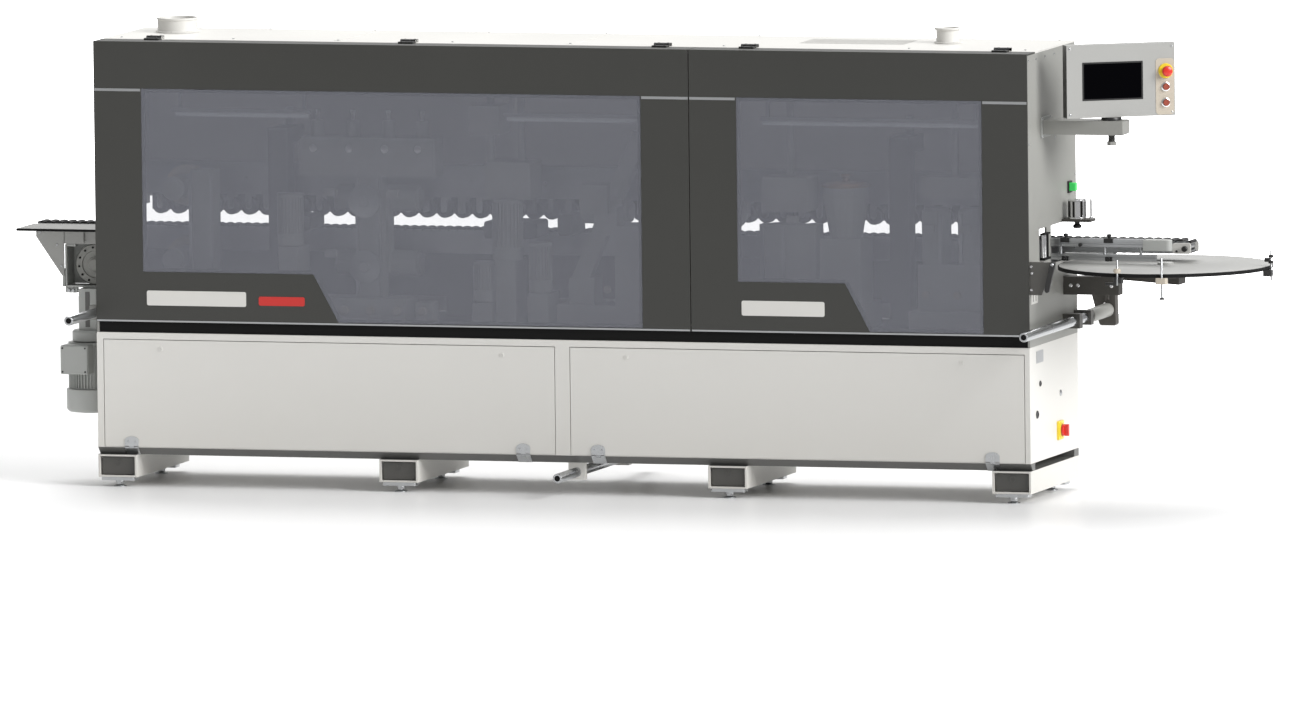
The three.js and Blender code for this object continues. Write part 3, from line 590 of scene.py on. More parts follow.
def make_roof_vent():
    """Wire screen under the slots of the roof and the seams beside it."""
    screen = Shape()
    for k in range(35):
        y = 330 + 6.2 * k
        screen.bar("x", (y, 1667), 0.9, 2650, 3074, sides=6)
    for k in range(36):
        x = 2652 + 12 * k
        screen.bar("y", (x, 1665), 0.9, 328, 546, sides=6)
    screen.make("roof_vent_screen", "turned_steel", bevel=0)
    seams = Shape()
    for x in (912, 1821):
        seams.box((x - 14, x + 14), (152, 634), (1677.1, 1678.3))
    seams.make("roof_seam_straps", "light_paint", bevel=0.2)
    bolts = Shape().screws(
        "z", grid((60, 500, 912, 1360, 1821, 2420, 3140, 3590), (165, 622)), 1678.2,
        radius=4.5, thick=2.6, out=1)
    bolts.make("roof_bolts", "turned_steel", bevel=0)


def make_base_fittings():
    latches = {"outfeed": (250, 1590), "infeed": (2075, 3380)}
    for side, spots in latches.items():
        latch = Shape()
        for x in spots:
            latch.turned("y", (x, 522), [
                (0, 0.2), (9, 0.2), (9, -1.2), (7, -2.4), (6.2, -2.4), (6.2, -1.4), (0, -1.4)], sides=32)
            latch.box((x - 4.5, x + 4.5), (-2.6, -1.2), (521, 523))
        latch.make(f"base_latches_{side}", "light_paint", LOW_DOOR[side], bevel=0.2)
    hinges = {"outfeed": (133, 1670), "infeed": (1963, 3496)}
    for side, spots in hinges.items():
        leaf, fixed = Shape(), Shape()
        for x in spots:
            outline = [(x - 27, 155.5)] + [
                (x + 27 * math.cos(t), 176 + 16 * math.sin(t))
                for t in (math.pi - math.pi * k / 12 for k in range(13))
            ] + [(x + 27, 155.5)]
            leaf.prism("y", outline, -3.2, 0.2)
            for dx in (-14, 14):
                leaf.screw("y", (x + dx, 172), -3.0, radius=4, thick=2)
            for low, high in ((-27, -9.5), (9.5, 27)):
                fixed.bar("x", (0, 150), 4, x + low, x + high, sides=18)
                fixed.prism("x", [(-1.8, 148), (0, 149.7), (3.6, 146), (1.8, 144.3)], x + low, x + high)
            leaf.bar("x", (0, 150), 4, x - 9, x + 9, sides=18)
            leaf.box((x - 9, x + 9), (-3.1, 0), (150, 156))
            fixed.prism("x", [(1.5, 144.6), (3.3, 146.3), (28, 121), (26.2, 119.3)], x - 27, x + 27)
        leaf.make(f"base_hinge_leaves_{side}", "turned_steel", LOW_DOOR[side], bevel=0.4)
        fixed.make(f"base_hinge_plates_{side}", "turned_steel", bevel=0.4)
    # Plates set in the mouths of the base channels, near black as painted shade for the shaded inside of the
    # channels.
    ends = Shape()
    for start in (0, 1105, 2390, 3493):
        ends.plate("y", (start + 12, start + 138), (47, 112), 5, 10, 15)
        ends.hoop("y", (start + 75, 92), [(8, 8.5), (12, 8.5), (12, 10.4), (8, 10.4)], sides=24)
    ends.make("base_channel_ends", "channel_end_shade_and_dust", bevel=0.6)


def make_side_fittings():
    """Infeed end of the base: blank plate, cable glands, lock and the main switch."""
    face = LENGTH
    Shape().plate("x", (86, 178), (517, 562), 4, face - 0.2, face + 1.4).make(
        "base_blank_plate", "machined", bevel=0.2)
    glands = Shape()
    for y, z, radius in ((134, 438, 11), (92, 326, 15)):
        glands.hoop("x", (y, z), [
            (radius * 0.45, face - 0.2), (radius, face - 0.2), (radius, face + 2), (radius * 0.8, face + 4.5),
            (radius * 0.45, face + 4.5)], sides=32)
        glands.bar("x", (y, z), radius * 0.44, face - 0.2, face + 1.6, sides=24)
    glands.make("cable_glands", "black_plastic", bevel=0.3)
    lock = Shape().turned("x", (404, 378), [
        (0, face - 0.2), (12, face - 0.2), (12, face + 2), (9, face + 4), (0, face + 4)], sides=32)
    lock.box((face + 3.9, face + 4.6), (402.6, 405.4), (372, 384))
    lock.make("base_lock", "turned_steel", bevel=0.2)
    plate = Shape()
    plate.plate("x", (350, 420), (206, 276), 5, face - 0.2, face + 8)
    plate.hoop("x", (385, 241), [(23.4, face + 7.8), (31, face + 7.8), (30, face + 12), (23.4, face + 12)])
    plate.make("main_switch_plate", "yellow_plastic", bevel=0.8)
    handle = Shape()
    handle.turned("x", (385, 241), [
        (0, face + 13), (22, face + 13), (22, face + 20), (20, face + 23), (0, face + 23)], sides=40)
    outline = rounded_rectangle((378, 392), (219, 263), 4)
    handle.prism("x", outline, face + 22, face + 37)
    handle.make("main_switch_handle_look", "red_plastic", "switch_handle", bevel=1.0,
                replaces=("main_switch_handle",))
    rivets = Shape()
    for y in (20, 120, 240, 360, 480, 610):
        for z in (1650, 1340) if y > 300 or y < 60 else (1650,):
            rivets.screw("x", (y, z), face, radius=4.5, thick=2.4, out=1)
    for z in (620, 780, 1180):
        rivets.screw("x", (624, z), face, radius=4.5, thick=2.4, out=1)
    rivets.make("side_plate_screws_infeed", "turned_steel", bevel=0)
    rivets = Shape().screws("x", grid((20, 150, 320, 480, 610), (640, 1180, 1650)), 0, radius=4.5, thick=2.4)
    rivets.make("side_plate_screws_outfeed", "turned_steel", bevel=0)


def make_rear_details():
    """Seam straps, louvres and screws on the back."""
    straps, screws = Shape(), Shape()
    for x in (912, 1821, 2732):
        straps.box((x - 15, x + 15), (REAR_FACE - 0.2, REAR_FACE + 2), (1045, 1665))
        straps.box((x - 15, x + 15), (REAR_FACE - 0.2, REAR_FACE + 2), (628, 875))
    for x in (60, 480, 880, 945, 1360, 1790, 1852, 2280, 2700, 2764, 3180, 3585):
        for z in (1060, 1650, 640, 862):
            screws.screw("y", (x, z), REAR_FACE, radius=4.5, thick=2.4, out=1)
    straps.make("rear_seam_straps", "light_paint", bevel=0.2)
    screws.make("rear_screws", "turned_steel", bevel=0)
    louvres = Shape()
    for left in (420, 2560):
        for k in range(9):
            z = 300 + 22 * k
            louvres.prism("x", [(639.5, z), (639.5, z + 14), (648, z + 2), (648, z)], left, left + 420)
    louvres.make("rear_louvres", "light_paint", bevel=0.5)


# ------------------------------------------------------------------ conveyor
CHAIN_Y = (430, 510)
PAD_PITCH = 34.6
CHAIN_LEFT, CHAIN_RIGHT, CHAIN_MIDDLE = -357.5, 4129.5, 929.5  # axles at both ends and their height
CHAIN_TURN = 13.5  # radius of the middle line round an end


def chain_station(distance):
    """Point and outward direction on the chain's middle line, in X and Z, at a distance along it."""
    left, right, middle, radius = CHAIN_LEFT, CHAIN_RIGHT, CHAIN_MIDDLE, CHAIN_TURN
    straight, turn = right - left, math.pi * radius
    distance %= 2 * (straight + turn)
    if distance < straight:
        return (left + distance, middle + radius), math.pi / 2
    distance -= straight
    if distance < turn:
        angle = math.pi / 2 - distance / radius
        return (right + radius * math.cos(angle), middle + radius * math.sin(angle)), angle
    distance -= turn
    if distance < straight:
        return (right - distance, middle - radius), -math.pi / 2
    angle = -math.pi / 2 - (distance - straight) / radius
    return (left + radius * math.cos(angle), middle + radius * math.sin(angle)), angle


def make_chain():
    """Rubber pads with domed backs, each on its own link."""
    total = 2 * (CHAIN_RIGHT - CHAIN_LEFT + math.pi * CHAIN_TURN)
    count = round(total / PAD_PITCH)
    pads, links = Shape(), Shape()
    for k in range(count):
        (x, z), angle = chain_station(total * k / count)
        out = (math.cos(angle), math.sin(angle))
        way = (math.sin(angle), -math.cos(angle))
        half = 14.8 if abs(math.sin(angle)) > 0.999 else 6.5

        def at(u, v):
            return (x + way[0] * u + out[0] * v, z + way[1] * u + out[1] * v)
        dome = [at(half * c, 6.5 + 7.3 * h) for c, h in (
            (1, 0), (1, 0.35), (0.72, 0.78), (0.36, 0.96), (0, 1), (-0.36, 0.96), (-0.72, 0.78), (-1,
                0.35), (-1, 0))]
        pads.prism("y", dome, *CHAIN_Y)
        links.prism("y",
            [at(half * 0.9, 0.6), at(half * 0.9, 6.3), at(-half * 0.9, 6.3), at(-half * 0.9, 0.6)],
                    CHAIN_Y[0] + 6, CHAIN_Y[1] - 6)
    pads.make("conveyor_chain_pads", "pad_rubber", bevel=0.5, replaces=("conveyor_chain",))
    links.make("conveyor_chain_links", "turned_steel", bevel=0)


def make_conveyor_ends():
    ends = Shape()
    ends.plate("y", (4080, 4150), (904, 944), 8, 412, 418.4)
    ends.plate("y", (4080, 4150), (904, 944), 8, 521.6, 528)
    ends.make("conveyor_end_plates", "light_paint", bevel=0.6)
    knob = Shape().turned("y", (4129.5, 924), [
        (0, 412.3), (7, 412.3), (7, 408), (11, 406), (11, 398), (8, 395), (0, 395)], sides=24)
    knob.turned("y", (4096, 914), [(0, 412.3), (4, 412.3), (4, 408.5), (0, 408.5)], sides=16)
    knob.make("conveyor_end_knobs", "black_plastic", bevel=0.3)
    bolts = Shape().screws("y", [(x, 925) for x in (-320, -180, -60, 3700, 3820, 3940, 4040)], 421,
        radius=4.5, thick=2.6)
    bolts.make("conveyor_bolts", "turned_steel", bevel=0)


# ------------------------------------------------------------------ outfeed end
def make_outfeed_table():
    edge = Shape().box((-380, -1), (204.6, 206), (938.5, 947.5)).box((-381.4, -380), (206, 420),
        (938.5, 947.5))
    edge.make("outfeed_table_edge", "black_steel", bevel=0.2)
    web = Shape().box((-222.6, -1), (300, 303.6), (884, 937.6)).box((-150, -142), (290, 299.8), (890, 937.6))
    web.make("outfeed_table_web", "console_grey", bevel=0.4)
    clamp = Shape().box((-232, -222.3), (300, 320), (722, 790)).box((-222, -178), (306, 336), (698, 718.4))
    clamp.make("gearbox_clamps", "motor_grey", bevel=0.8)
    bolts = Shape()
    for x, z in ((-206, 708), (-190, 708)):
        bolts.turned("y", (x, z), [(0, 306.2), (7, 306.2), (7, 299), (5, 297), (0, 297)], sides=24)
    for x, z in ((-316, 926), (-250, 880), (-233, 800)):
        bolts.screw("y", (x, z), 296, radius=4, thick=2.4)
    bolts.make("outfeed_bolts", "turned_steel", bevel=0.2)


def make_gearbox():
    at = (-111, 805)
    case = Shape()
    case.box((-222, -214), (304.5, 400), (719.2, 882))
    case.box((-8.4, -0.4), (304.5, 400), (719.2, 882))
    case.box((-213.8, -8.6), (304.5, 390), (719.2, 727))
    case.box((-213.8, -8.6), (390.2, 400), (727.2, 882))
    case.box((-213.8, -180), (306, 322), (874, 882))
    case.make("gearbox_housing", "motor_grey", bevel=0.9, replaces=("drive_gearbox",))
    ring = Shape()
    ring.turned("y", at, [
        (0, 389.8), (77, 389.8), (77, 334), (74, 330), (52, 330), (50, 335), (30, 335), (28, 330), (22, 330),
        (22, 318), (20, 316), (0, 316)], sides=72)
    ring.make("gearbox_flange", "plate_grey", bevel=0.5)
    bolts = Shape()
    bolts.screws("y", around(at, 12, 64, start=0.13), 330, radius=4.2, thick=3)
    bolts.make("gearbox_bolts", "black_steel", bevel=0)


def make_drive_motor():
    x, y = -118, 290
    body = Shape()
    body.plate("z", (x - 37, x + 37), (y - 37, y + 60), 6, 562, 718.6)
    body.turned("z", (x, y), [(0, 520), (66, 520), (70, 524), (70, 556), (64, 563), (0, 563)], sides=64)
    body.turned("z", (x, y), [(0, 343), (77, 343), (77, 517), (0, 517)], sides=64)
    body.turned("z", (x, y), [(0, 508), (86, 508), (86, 518), (0, 518)], sides=64)
    for k in range(44):
        angle = 2 * math.pi * k / 44
        side, way = Vector((-math.sin(angle), math.cos(angle))), Vector((math.cos(angle), math.sin(angle)))
        corners = [way * r + side * t for r, t in ((75, -1.7), (86, -1.1), (86, 1.1), (75, 1.7))]
        body.prism("z", [(x + c.x, y + c.y) for c in corners], 346, 508)
    body.make("drive_motor_body", "motor_grey", bevel=0.3, replaces=("drive_motor",))
    cover = Shape().turned("z", (x, y), [
        (0, 254), (60, 254), (84, 256), (92, 263), (94, 270), (94, 341), (88, 343), (0, 343)], sides=72)
    cover.make("drive_motor_fan_cover", "motor_grey", bevel=0.3)
    grille = Shape()
    for radius in (18, 30, 42, 54):
        grille.hoop("z", (x, y), [(radius, 252.8), (radius + 4, 252.8), (radius + 4, 254.4), (radius, 254.4)])
    grille.make("drive_motor_grille", "black_steel", bevel=0)
    box = Shape()
    box.plate("y", (-193, -84), (406, 515), 5, 148, 250)
    box.plate("y", (-191, -86), (408, 513), 5, 140.4, 147)
    box.make("drive_motor_terminal_box", "motor_grey", bevel=1.2)
    bits = Shape()
    for u, v in ((-183, 416), (-94, 416), (-183, 505), (-94, 505)):
        bits.screw("y", (u, v), 140.6, radius=3.5, thick=2)
    for v in (430, 470):
        bits.turned("x", (200, v), [(0, -193.4 + 0.6), (9, -193.2), (9, -199), (7, -203), (0, -203)],
            sides=20)
    bits.make("drive_motor_terminal_fittings", "black_plastic", bevel=0.2)
    band = Shape().plate("z", (x - 9, x + 9), (y - 38.2, y - 37.2), 0.3, 575, 708)
    band.make("drive_motor_column_band", "frame_dark", bevel=0.2)


# ------------------------------------------------------------------ infeed end
def make_entry_gate():
    at = (3694, 474)
    bracket = Shape()
    for y in ((440, 462), (486, 510)):
        bracket.box((INFEED_FACE, 3756), y, (1014, 1025))
    bracket.box((INFEED_FACE, 3682), (462.2, 485.8), (1014, 1025)).box((3706, 3756), (462.2, 485.8),
        (1014, 1025))
    bracket.make("entry_gate_bracket", "cast_dark", bevel=0.8, replaces=("entry_gate_cylinder",))
    barrel = Shape().hoop("z", at, [
        (11, 1025.2), (34, 1025.2), (34, 1031), (29, 1033), (29, 1089), (34, 1091), (34, 1096), (33, 1097),
        (11, 1097)], sides=64)
    barrel.make("entry_gate_barrel", "chrome", bevel=0.4)
    cap = Shape().turned("z", at, [(0, 1060.5), (10.8, 1060.5), (10.8, 1096.8), (0, 1096.8)], sides=24)
    cap.make("entry_gate_barrel_cap", "black_plastic", bevel=0.3)
    bands = Shape()
    for spot in around(at, 6, 29.5, start=0.35):
        bands.bar("z", spot, 4.2, 1031.2, 1090.8, sides=18)
    bands.make("entry_gate_tie_rods", "black_steel", bevel=0)
    pin = Shape().turned("z", (3748, 474), [
        (0, 1025), (7, 1025), (7, 1032), (4, 1034), (4, 1092), (1, 1108), (0, 1108)], sides=24)
    pin.make("entry_gate_pin", "chrome", bevel=0.2)
    plunger = Shape().turned("z", at, [
        (0, 989), (13, 989), (16, 992), (16, 1000), (12, 1003), (10, 1003.4), (10, 1058), (9, 1059), (0,
            1059)],
        sides=32)
    plunger.make("entry_gate_plunger_look", "black_plastic", "entry_gate", bevel=0.3,
                 replaces=("entry_gate_plunger",))


def make_side_button():
    cap = Shape().plate("x", (528, 558), (1122, 1152), 4, LENGTH + 3.5, LENGTH + 28)
    cap.make("side_start_button_look", "green_plastic", "side_button", bevel=1.2,
        replaces=("side_start_button",))
    bezel = Shape()
    bezel.box((LENGTH, LENGTH + 7), (521, 526.5), (1115, 1159)).box((LENGTH, LENGTH + 7), (559.5, 565),
        (1115, 1159))
    bezel.box((LENGTH, LENGTH + 7), (526.7, 559.3), (1115, 1120.5))
    bezel.box((LENGTH, LENGTH + 7), (526.7, 559.3), (1153.5, 1159))
    bezel.make("side_button_bezel", "black_plastic", bevel=0.6)


def capsule(a, b, half, steps=9):
    """Outline of a bar with round ends between two points."""
    tilt = math.atan2(b[1] - a[1], b[0] - a[0])
    outline = []
    for centre, start in ((b, tilt - math.pi / 2), (a, tilt + math.pi / 2)):
        for k in range(steps + 1):
            turn = start + math.pi * k / steps
            outline.append((centre[0] + half * math.cos(turn), centre[1] + half * math.sin(turn)))
    return outline


def make_clamp_lever():
    lever = Shape().prism("y", capsule((3736, 896), (3714, 800), 10), -8, 6.6)
    lever.make("clamp_lever_look", "black_plastic", "clamp_lever", bevel=2.2, replaces=("clamp_lever",))
    bolt = Shape().screw("y", (3736, 896), -8, radius=6, thick=4)
    bolt.make("clamp_lever_bolt", "turned_steel", "clamp_lever", bevel=0)
    pins = Shape()
    for x, z in ((3652, 886), (3655, 862), (3652, 800)):
        pins.turned("y", (x, z), [(0, 7.2), (6, 7.2), (6, 1), (4.5, -1), (0, -1)], sides=20)
    pins.make("side_bracket_pins", "chrome", bevel=0.2)


def make_tape_guide():
    bars = Shape()
    bars.box((INFEED_FACE, 4010), (288, 312), (937, 948)).box((INFEED_FACE, 4010), (291, 309), (948.2, 955))
    bars.box((INFEED_FACE, 4010), (288, 312), (955.2, 967))
    bars.box((INFEED_FACE, 4050), (290, 310), (887, 897)).box((INFEED_FACE, 4050), (293, 307), (897.2, 901))
    bars.box((INFEED_FACE, 4050), (290, 310), (901.2, 910))
    for x in (3680, 3850, 3990):
        bars.bar("z", (x, 300), 6, 909.8, 937.2, sides=20)
    bars.make("tape_guide_bars", "machined", bevel=0.5, replaces=("tape_guide",))
    end = Shape().prism("z", [
        (4002, 282), (4090, 282), (4100, 284), (4108, 290), (4112, 300), (4108, 310), (4100, 316), (4090,
            318),
        (4002, 318)], 925, 967)
    end.make("tape_guide_end", "motor_grey", bevel=2.0)
    clamps = Shape()
    for x in (3868, 3700):
        clamps.box((x - 17, x + 17), (282, 317), (952, 970)).box((x - 13, x + 13), (286, 314), (884, 900))
        clamps.turned("z", (x, 300), [(0, 969.8), (6, 969.8), (6, 974), (9, 976), (9, 984), (0, 986)],
            sides=20)
        clamps.turned("y", (x, 892), [(0, 286.2), (8, 286.2), (8, 278), (0, 276)], sides=20)
    clamps.turned("y", (3760, 944), [(0, 288.2), (7, 288.2), (7, 280), (0, 279)], sides=20)
    clamps.make("tape_guide_clamps", "black_plastic", bevel=0.5)
    rollers = Shape()
    for y in (160, 186):
        rollers.turned("z", (3651, y), [(0, 905), (7, 905), (7, 990), (0, 990)], sides=28)
    rollers.make("side_rollers", "chrome", bevel=0.4)
    dark = Shape().turned("z", (3651, 214), [(0, 905), (7.5, 905), (7.5, 990), (0, 990)], sides=28)
    dark.box((INFEED_FACE, 3662), (148, 230), (896, 904.6)).box((INFEED_FACE, 3662), (148, 230), (990.4, 996))
    dark.make("side_roller_frame", "black_steel", bevel=0.4)
    mark = Shape().plate("x", (26, 112), (742, 786), 3, LENGTH - 0.2, LENGTH + 1.4)
    mark.make("side_indicator_plate", "light_paint", bevel=0.2)
    ticks = Shape().box((LENGTH + 1.2, LENGTH + 2), (50, 54), (750, 778)).box(
        (LENGTH + 1.2, LENGTH + 2), (84, 88), (750, 778))
    ticks.make("side_indicator_ticks", "black_steel", bevel=0)


def make_coil_tray():
    cx, cy, top = 4080, 316, 874
    disc = Shape().turned("z", (cx, cy), [
        (0, 861), (396, 861), (396, top - 0.4), (394, top), (60, top), (58, top - 1), (30, top - 1),
        (30, top + 7), (28, top + 8), (0, top + 8)], sides=160)
    disc.make("coil_tray_disc", "console_grey", bevel=0, replaces=("coil_tray",))
    rim = Shape().hoop("z", (cx, cy), [(396.3, 860), (400, 860), (400, 872), (398, 873.5), (396.3, 873.5)],
        sides=160)
    rim.make("coil_tray_rim", "black_steel", bevel=0)

    def spot(angle, radius):
        turn = math.radians(angle)
        return cx + radius * math.cos(turn), cy + radius * math.sin(turn)
    pins, blocks, dark = Shape(), Shape(), Shape()
    for angle, low, high in ((-76, 779, 935), (0, 820, 934), (-100, 830, 925)):
        x, y = spot(angle, 408)
        pins.turned("z", (x, y), [(0, low), (3.5, low), (3.5, high - 2), (2, high), (0, high)], sides=16)
        bx, by = spot(angle, 396)
        if angle == -76:
            blocks.plate("z", (bx - 20, bx + 20), (by - 18, by + 16), 4, 836, 859.6)
            for k in range(9):
                z = 786 + 4.5 * k
                pins.turned("z", (x, y), [(0, z), (5.6, z + 1), (5.6, z + 2.4), (0, z + 3.4)], sides=16)
            dark.turned("z", (x, y), [(0, 779), (10, 779), (10, 785), (5, 787), (0, 787)], sides=20)
        elif angle == 0:
            dark.plate("z", (bx - 16, bx + 16), (by - 16, by + 16), 3, 836, 859.6)
            for z in (884, 906):
                dark.turned("z", (x, y), [(0, z), (10, z), (10, z + 9), (0, z + 11)], sides=24)
            dark.turned("x", (y, 897), [(0, x - 24), (8, x - 24), (8, x - 5), (0, x - 5)], sides=20)
        else:
            dark.plate("z", (bx - 16, bx + 16), (by - 14, by + 14), 3, 838, 859.6)
            dark.prism("z", capsule((bx - 10, by - 8), (bx - 44, by - 2), 7), 830, 840)
            blocks.turned("z", (x, y), [(0, 876), (11, 876), (14, 882), (14, 888), (9, 893), (0, 894)],
                sides=28)
    pins.make("coil_tray_pins", "turned_steel", bevel=0)
    blocks.make("coil_tray_clamps_light", "cream_plastic", bevel=0.6)
    dark.make("coil_tray_clamps_dark", "black_plastic", bevel=0.5)
    bolts = Shape().screws("y", ((3672, 776), (3700, 776), (3830, 776)), 455, radius=7, thick=4)
    bolts.make("coil_tray_arm_bolts", "chrome", bevel=0)


# ------------------------------------------------------------------ console
CONSOLE_AT = (3927, 248, 0)
CONSOLE_TURN = 32  # degrees about Z


def at_console():
    return Matrix.Translation(CONSOLE_AT) @ Matrix.Rotation(math.radians(CONSOLE_TURN), 4, "Z")


def make_console():
    def panel():
        return Shape(at_console())
    panel().plate("y", (-149, 85), (1493, 1636), 3, -27, -24.2).make(
        "console_bezel", "black_plastic", "console", bevel=0.4)
    panel().plate("y", (-143, 79), (1499, 1630), 2, -27.5, -26.8).make(
        "console_screen", "screen_glass", "console", bevel=0.2)
    panel().plate("y", (134, 205), (1433, 1643), 14, -27.4, -25.9).make(
        "console_button_strip", "cream_plastic", "console", bevel=0.3)
    ring = panel().hoop("y", (172, 1596), [
        (10.6, -27.2), (28, -27.2), (28, -31), (26, -33), (12, -33), (10.6, -31)], sides=56)
    ring.make("emergency_stop_ring", "yellow_plastic", "console", bevel=0.2)
    mushroom = panel().turned("y", (172, 1596), [
        (0, -42), (13, -42), (18.5, -47), (20, -51), (20, -55), (17, -60), (10, -62.6), (0, -63)], sides=56)
    mushroom.make("emergency_stop_look", "red_plastic", "emergency_stop", bevel=0,
        replaces=("emergency_stop",))
    rims = panel()
    for name, z in (("start_button", 1537), ("stop_button", 1478)):
        cap = panel().turned("y", (172, z), [
            (0, -32), (12.5, -32), (12.5, -38.5), (11, -41), (8, -41), (7, -40), (0, -40)], sides=40)
        cap.make(f"{name}_look", "button_brown", name, bevel=0, replaces=(name,))
        rims.hoop("y", (172, z), [(12.9, -27.2), (17, -27.2), (17, -29), (15, -30), (12.9, -30)], sides=40)
    rims.make("button_rims", "chrome", "console", bevel=0)
    screws = panel().screws("y", grid((-197, 197), (1442, 1688)), -26, radius=4, thick=2)
    screws.screws("y", grid((-190, 0, 190), (1446, 1684)), 25.4, radius=4, thick=2, out=1)
    screws.make("console_screws", "turned_steel", "console", bevel=0)
    back = panel().box((-204, 204), (21, 25.6), (1434, 1696))
    for k in range(9):
        back.box((-120, 120), (25.4, 27.4), (1520 + 12 * k, 1526 + 12 * k))
    back.make("console_back", "charcoal", "console", bevel=0.5)
    side = panel().box((-210, -209), (-24, 24), (1431, 1699))
    side.make("console_side_strip", "charcoal", "console", bevel=0.2)
    collar = Shape().hoop("z", (3900, 235),
        [(31.5, 1416.4), (38, 1416.4), (38, 1424), (36, 1428), (31.5, 1428)])
    collar.make("console_bearing_collar", "black_plastic", bevel=0.3)
    end = Shape().plate("x", (188, 282), (1365, 1414), 4, 3952.8, 3956)
    end.make("control_arm_end_cap", "plate_grey", bevel=0.8)
    thread = Shape()
    for k in range(8):
        z = 1337 + 3.3 * k
        thread.hoop("z", (3900, 235), [(12.2, z), (14, z + 1.2), (12.2, z + 2.4)], sides=28)
    thread.make("control_arm_bolt_thread", "black_steel", bevel=0)
    foot = Shape().plate("x", (176, 294), (1350, 1428), 6, LENGTH, LENGTH + 5)
    foot.make("control_arm_foot", "motor_grey", bevel=0.8)
    bolts = Shape().screws("x", grid((182, 288), (1356, 1422)), LENGTH + 5, radius=4, thick=2.4, out=1)
    bolts.make("control_arm_foot_bolts", "turned_steel", bevel=0)


# ------------------------------------------------------------------ panel support
def make_panel_support():
    arms = {"support_arm_infeed": (3683, 643, (-100, 28)), "support_arm_outfeed": (-40, 643, (-28, 100)),
            "support_leg_centre": (1868, 85, None)}
    for node, (x, z, lean) in arms.items():
        rod = Shape().turned("y", (x, z), [
            (0, -208), (11, -208), (11, -215), (16, -215), (18, -212), (18, 915), (0, 915)], sides=40)
        rod.make(f"{node}_rod", "turned_steel", "panel_support", bevel=0, replaces=(node,))
        bore = Shape().turned("y", (x, z), [(0, -209), (10.6, -209), (10.6, -212), (0, -212)], sides=28)
        bore.make(f"{node}_bore", "black_steel", "panel_support", bevel=0)
        if lean:
            sleeve = Shape().hoop("y", (x, z), [
                (18.3, 660), (24, 660), (26, 663), (26, 902), (18.3, 902)], sides=40)
            sleeve.make(f"{node}_sleeve", "plate_grey", "panel_support", bevel=0.4)
            post = Shape().prism("y", [
                (x - 27, 584), (x + 27, 584), (x + 33, 590), (x + lean[1], 842), (x + lean[1], 849.6),
                (x + lean[0], 849.6), (x + lean[0], 842), (x - 33, 590)], 905, 945)
            rib = [(x - 8, 680), (x + 8, 680), (x + 10, 838), (x - 10, 838)]
            post.prism("y", rib, 896, 905.2)
        else:
            post = Shape().plate("y", (x - 25, x + 25), (60, 849.6), 4, 905, 945)
        post.make(f"{node}_post", "cast_dark", "panel_support", bevel=2.5)
        bolts = Shape()
        for dz in (-22, 22):
            bolts.screw("y", (x - 10 if lean else x, z + dz if lean else z + 60 + dz), 905, radius=6, thick=4)
        bolts.make(f"{node}_bolts", "chrome", "panel_support", bevel=0)
    rail = Shape()
    for x in ((-68, -65.2), (3708.2, 3711)):
        rail.plate("x", (906, 944), (851, 899), 3, *x)
    rail.make("support_rail_caps", "black_plastic", "panel_support", bevel=0.5)
    grooves = Shape()
    for z in (866, 884):
        grooves.box((-60, 3703), (904.4, 905), (z - 2, z + 2))
    grooves.make("support_rail_inlays", "black_steel", "panel_support", bevel=0)
    rollers = Shape()
    for k in range(24):
        rollers.turned("x", (925, 903), [
            (0, 10 + 155 * k), (10, 10 + 155 * k), (10, 60 + 155 * k), (0, 60 + 155 * k)], sides=28)
    rollers.make("support_rail_rollers", "black_plastic", "panel_support", bevel=0.5)


# ------------------------------------------------------------------ inside the hood
WHEELS_WITH_JOINTS = (250, 1300, 2350, 3400)


def wheel_profile(low, high, radius):
    return [(0, low), (radius * 0.3, low), (radius * 0.34, low + 2), (radius * 0.74, low + 3),
        (radius * 0.78, low),
            (radius - 1.5, low), (radius, low + 1.5), (radius, high - 1.5), (radius - 1.5, high), (0, high)]


def make_pressure_wheels():
    """One long row of rubber wheels under the beam; four of them turn."""
    for number, x in enumerate(WHEELS_WITH_JOINTS, 1):
        wheel = Shape().hoop("y", (x, WHEEL_AXIS), [
            (6.4, 453), (12, 453), (13, 455), (24, 456), (25, 453), (31, 453), (32.5, 454.5), (32.5, 485.5),
            (31, 487), (25, 487), (24, 484), (13, 485), (12, 487), (6.4, 487)], sides=48)
        wheel.make(f"pressure_wheel_{number}_look", "pad_rubber", f"pressure_wheel_{number}", bevel=0,
                   replaces=(f"pressure_wheel_{number}",))
    tyres, hangers = Shape(), Shape()
    for k in range(-2, 48):
        x = 250 + 70 * k
        if x in WHEELS_WITH_JOINTS or not 100 < x < 3540:
            continue
        tyres.turned("y", (x, WHEEL_AXIS), wheel_profile(*WHEEL_FACES, WHEEL_RADIUS), sides=40)
        for y in ((444, 449), (491, 496)):
            hangers.prism("y", capsule((x, WHEEL_AXIS), (x, 1062), 12), *y)
        hangers.bar("y", (x, WHEEL_AXIS), 5, 440, 500, sides=16)
    tyres.make("pressure_wheel_row", "pad_rubber", "pressure_beam", bevel=0)
    hangers.make("pressure_wheel_hangers", "turned_steel", "pressure_beam", bevel=0)
    guard = Shape().box((62, 3558), (502, 505), (1002, 1069))
    guard.make("pressure_wheel_guard", "charcoal", "pressure_beam", bevel=0.4)
    bolts = Shape()
    for k in range(12):
        bolts.screw("y", (160 + 295 * k, 1130), 430, radius=8, thick=5)
    bolts.make("pressure_beam_bolts", "turned_steel", "pressure_beam", bevel=0)


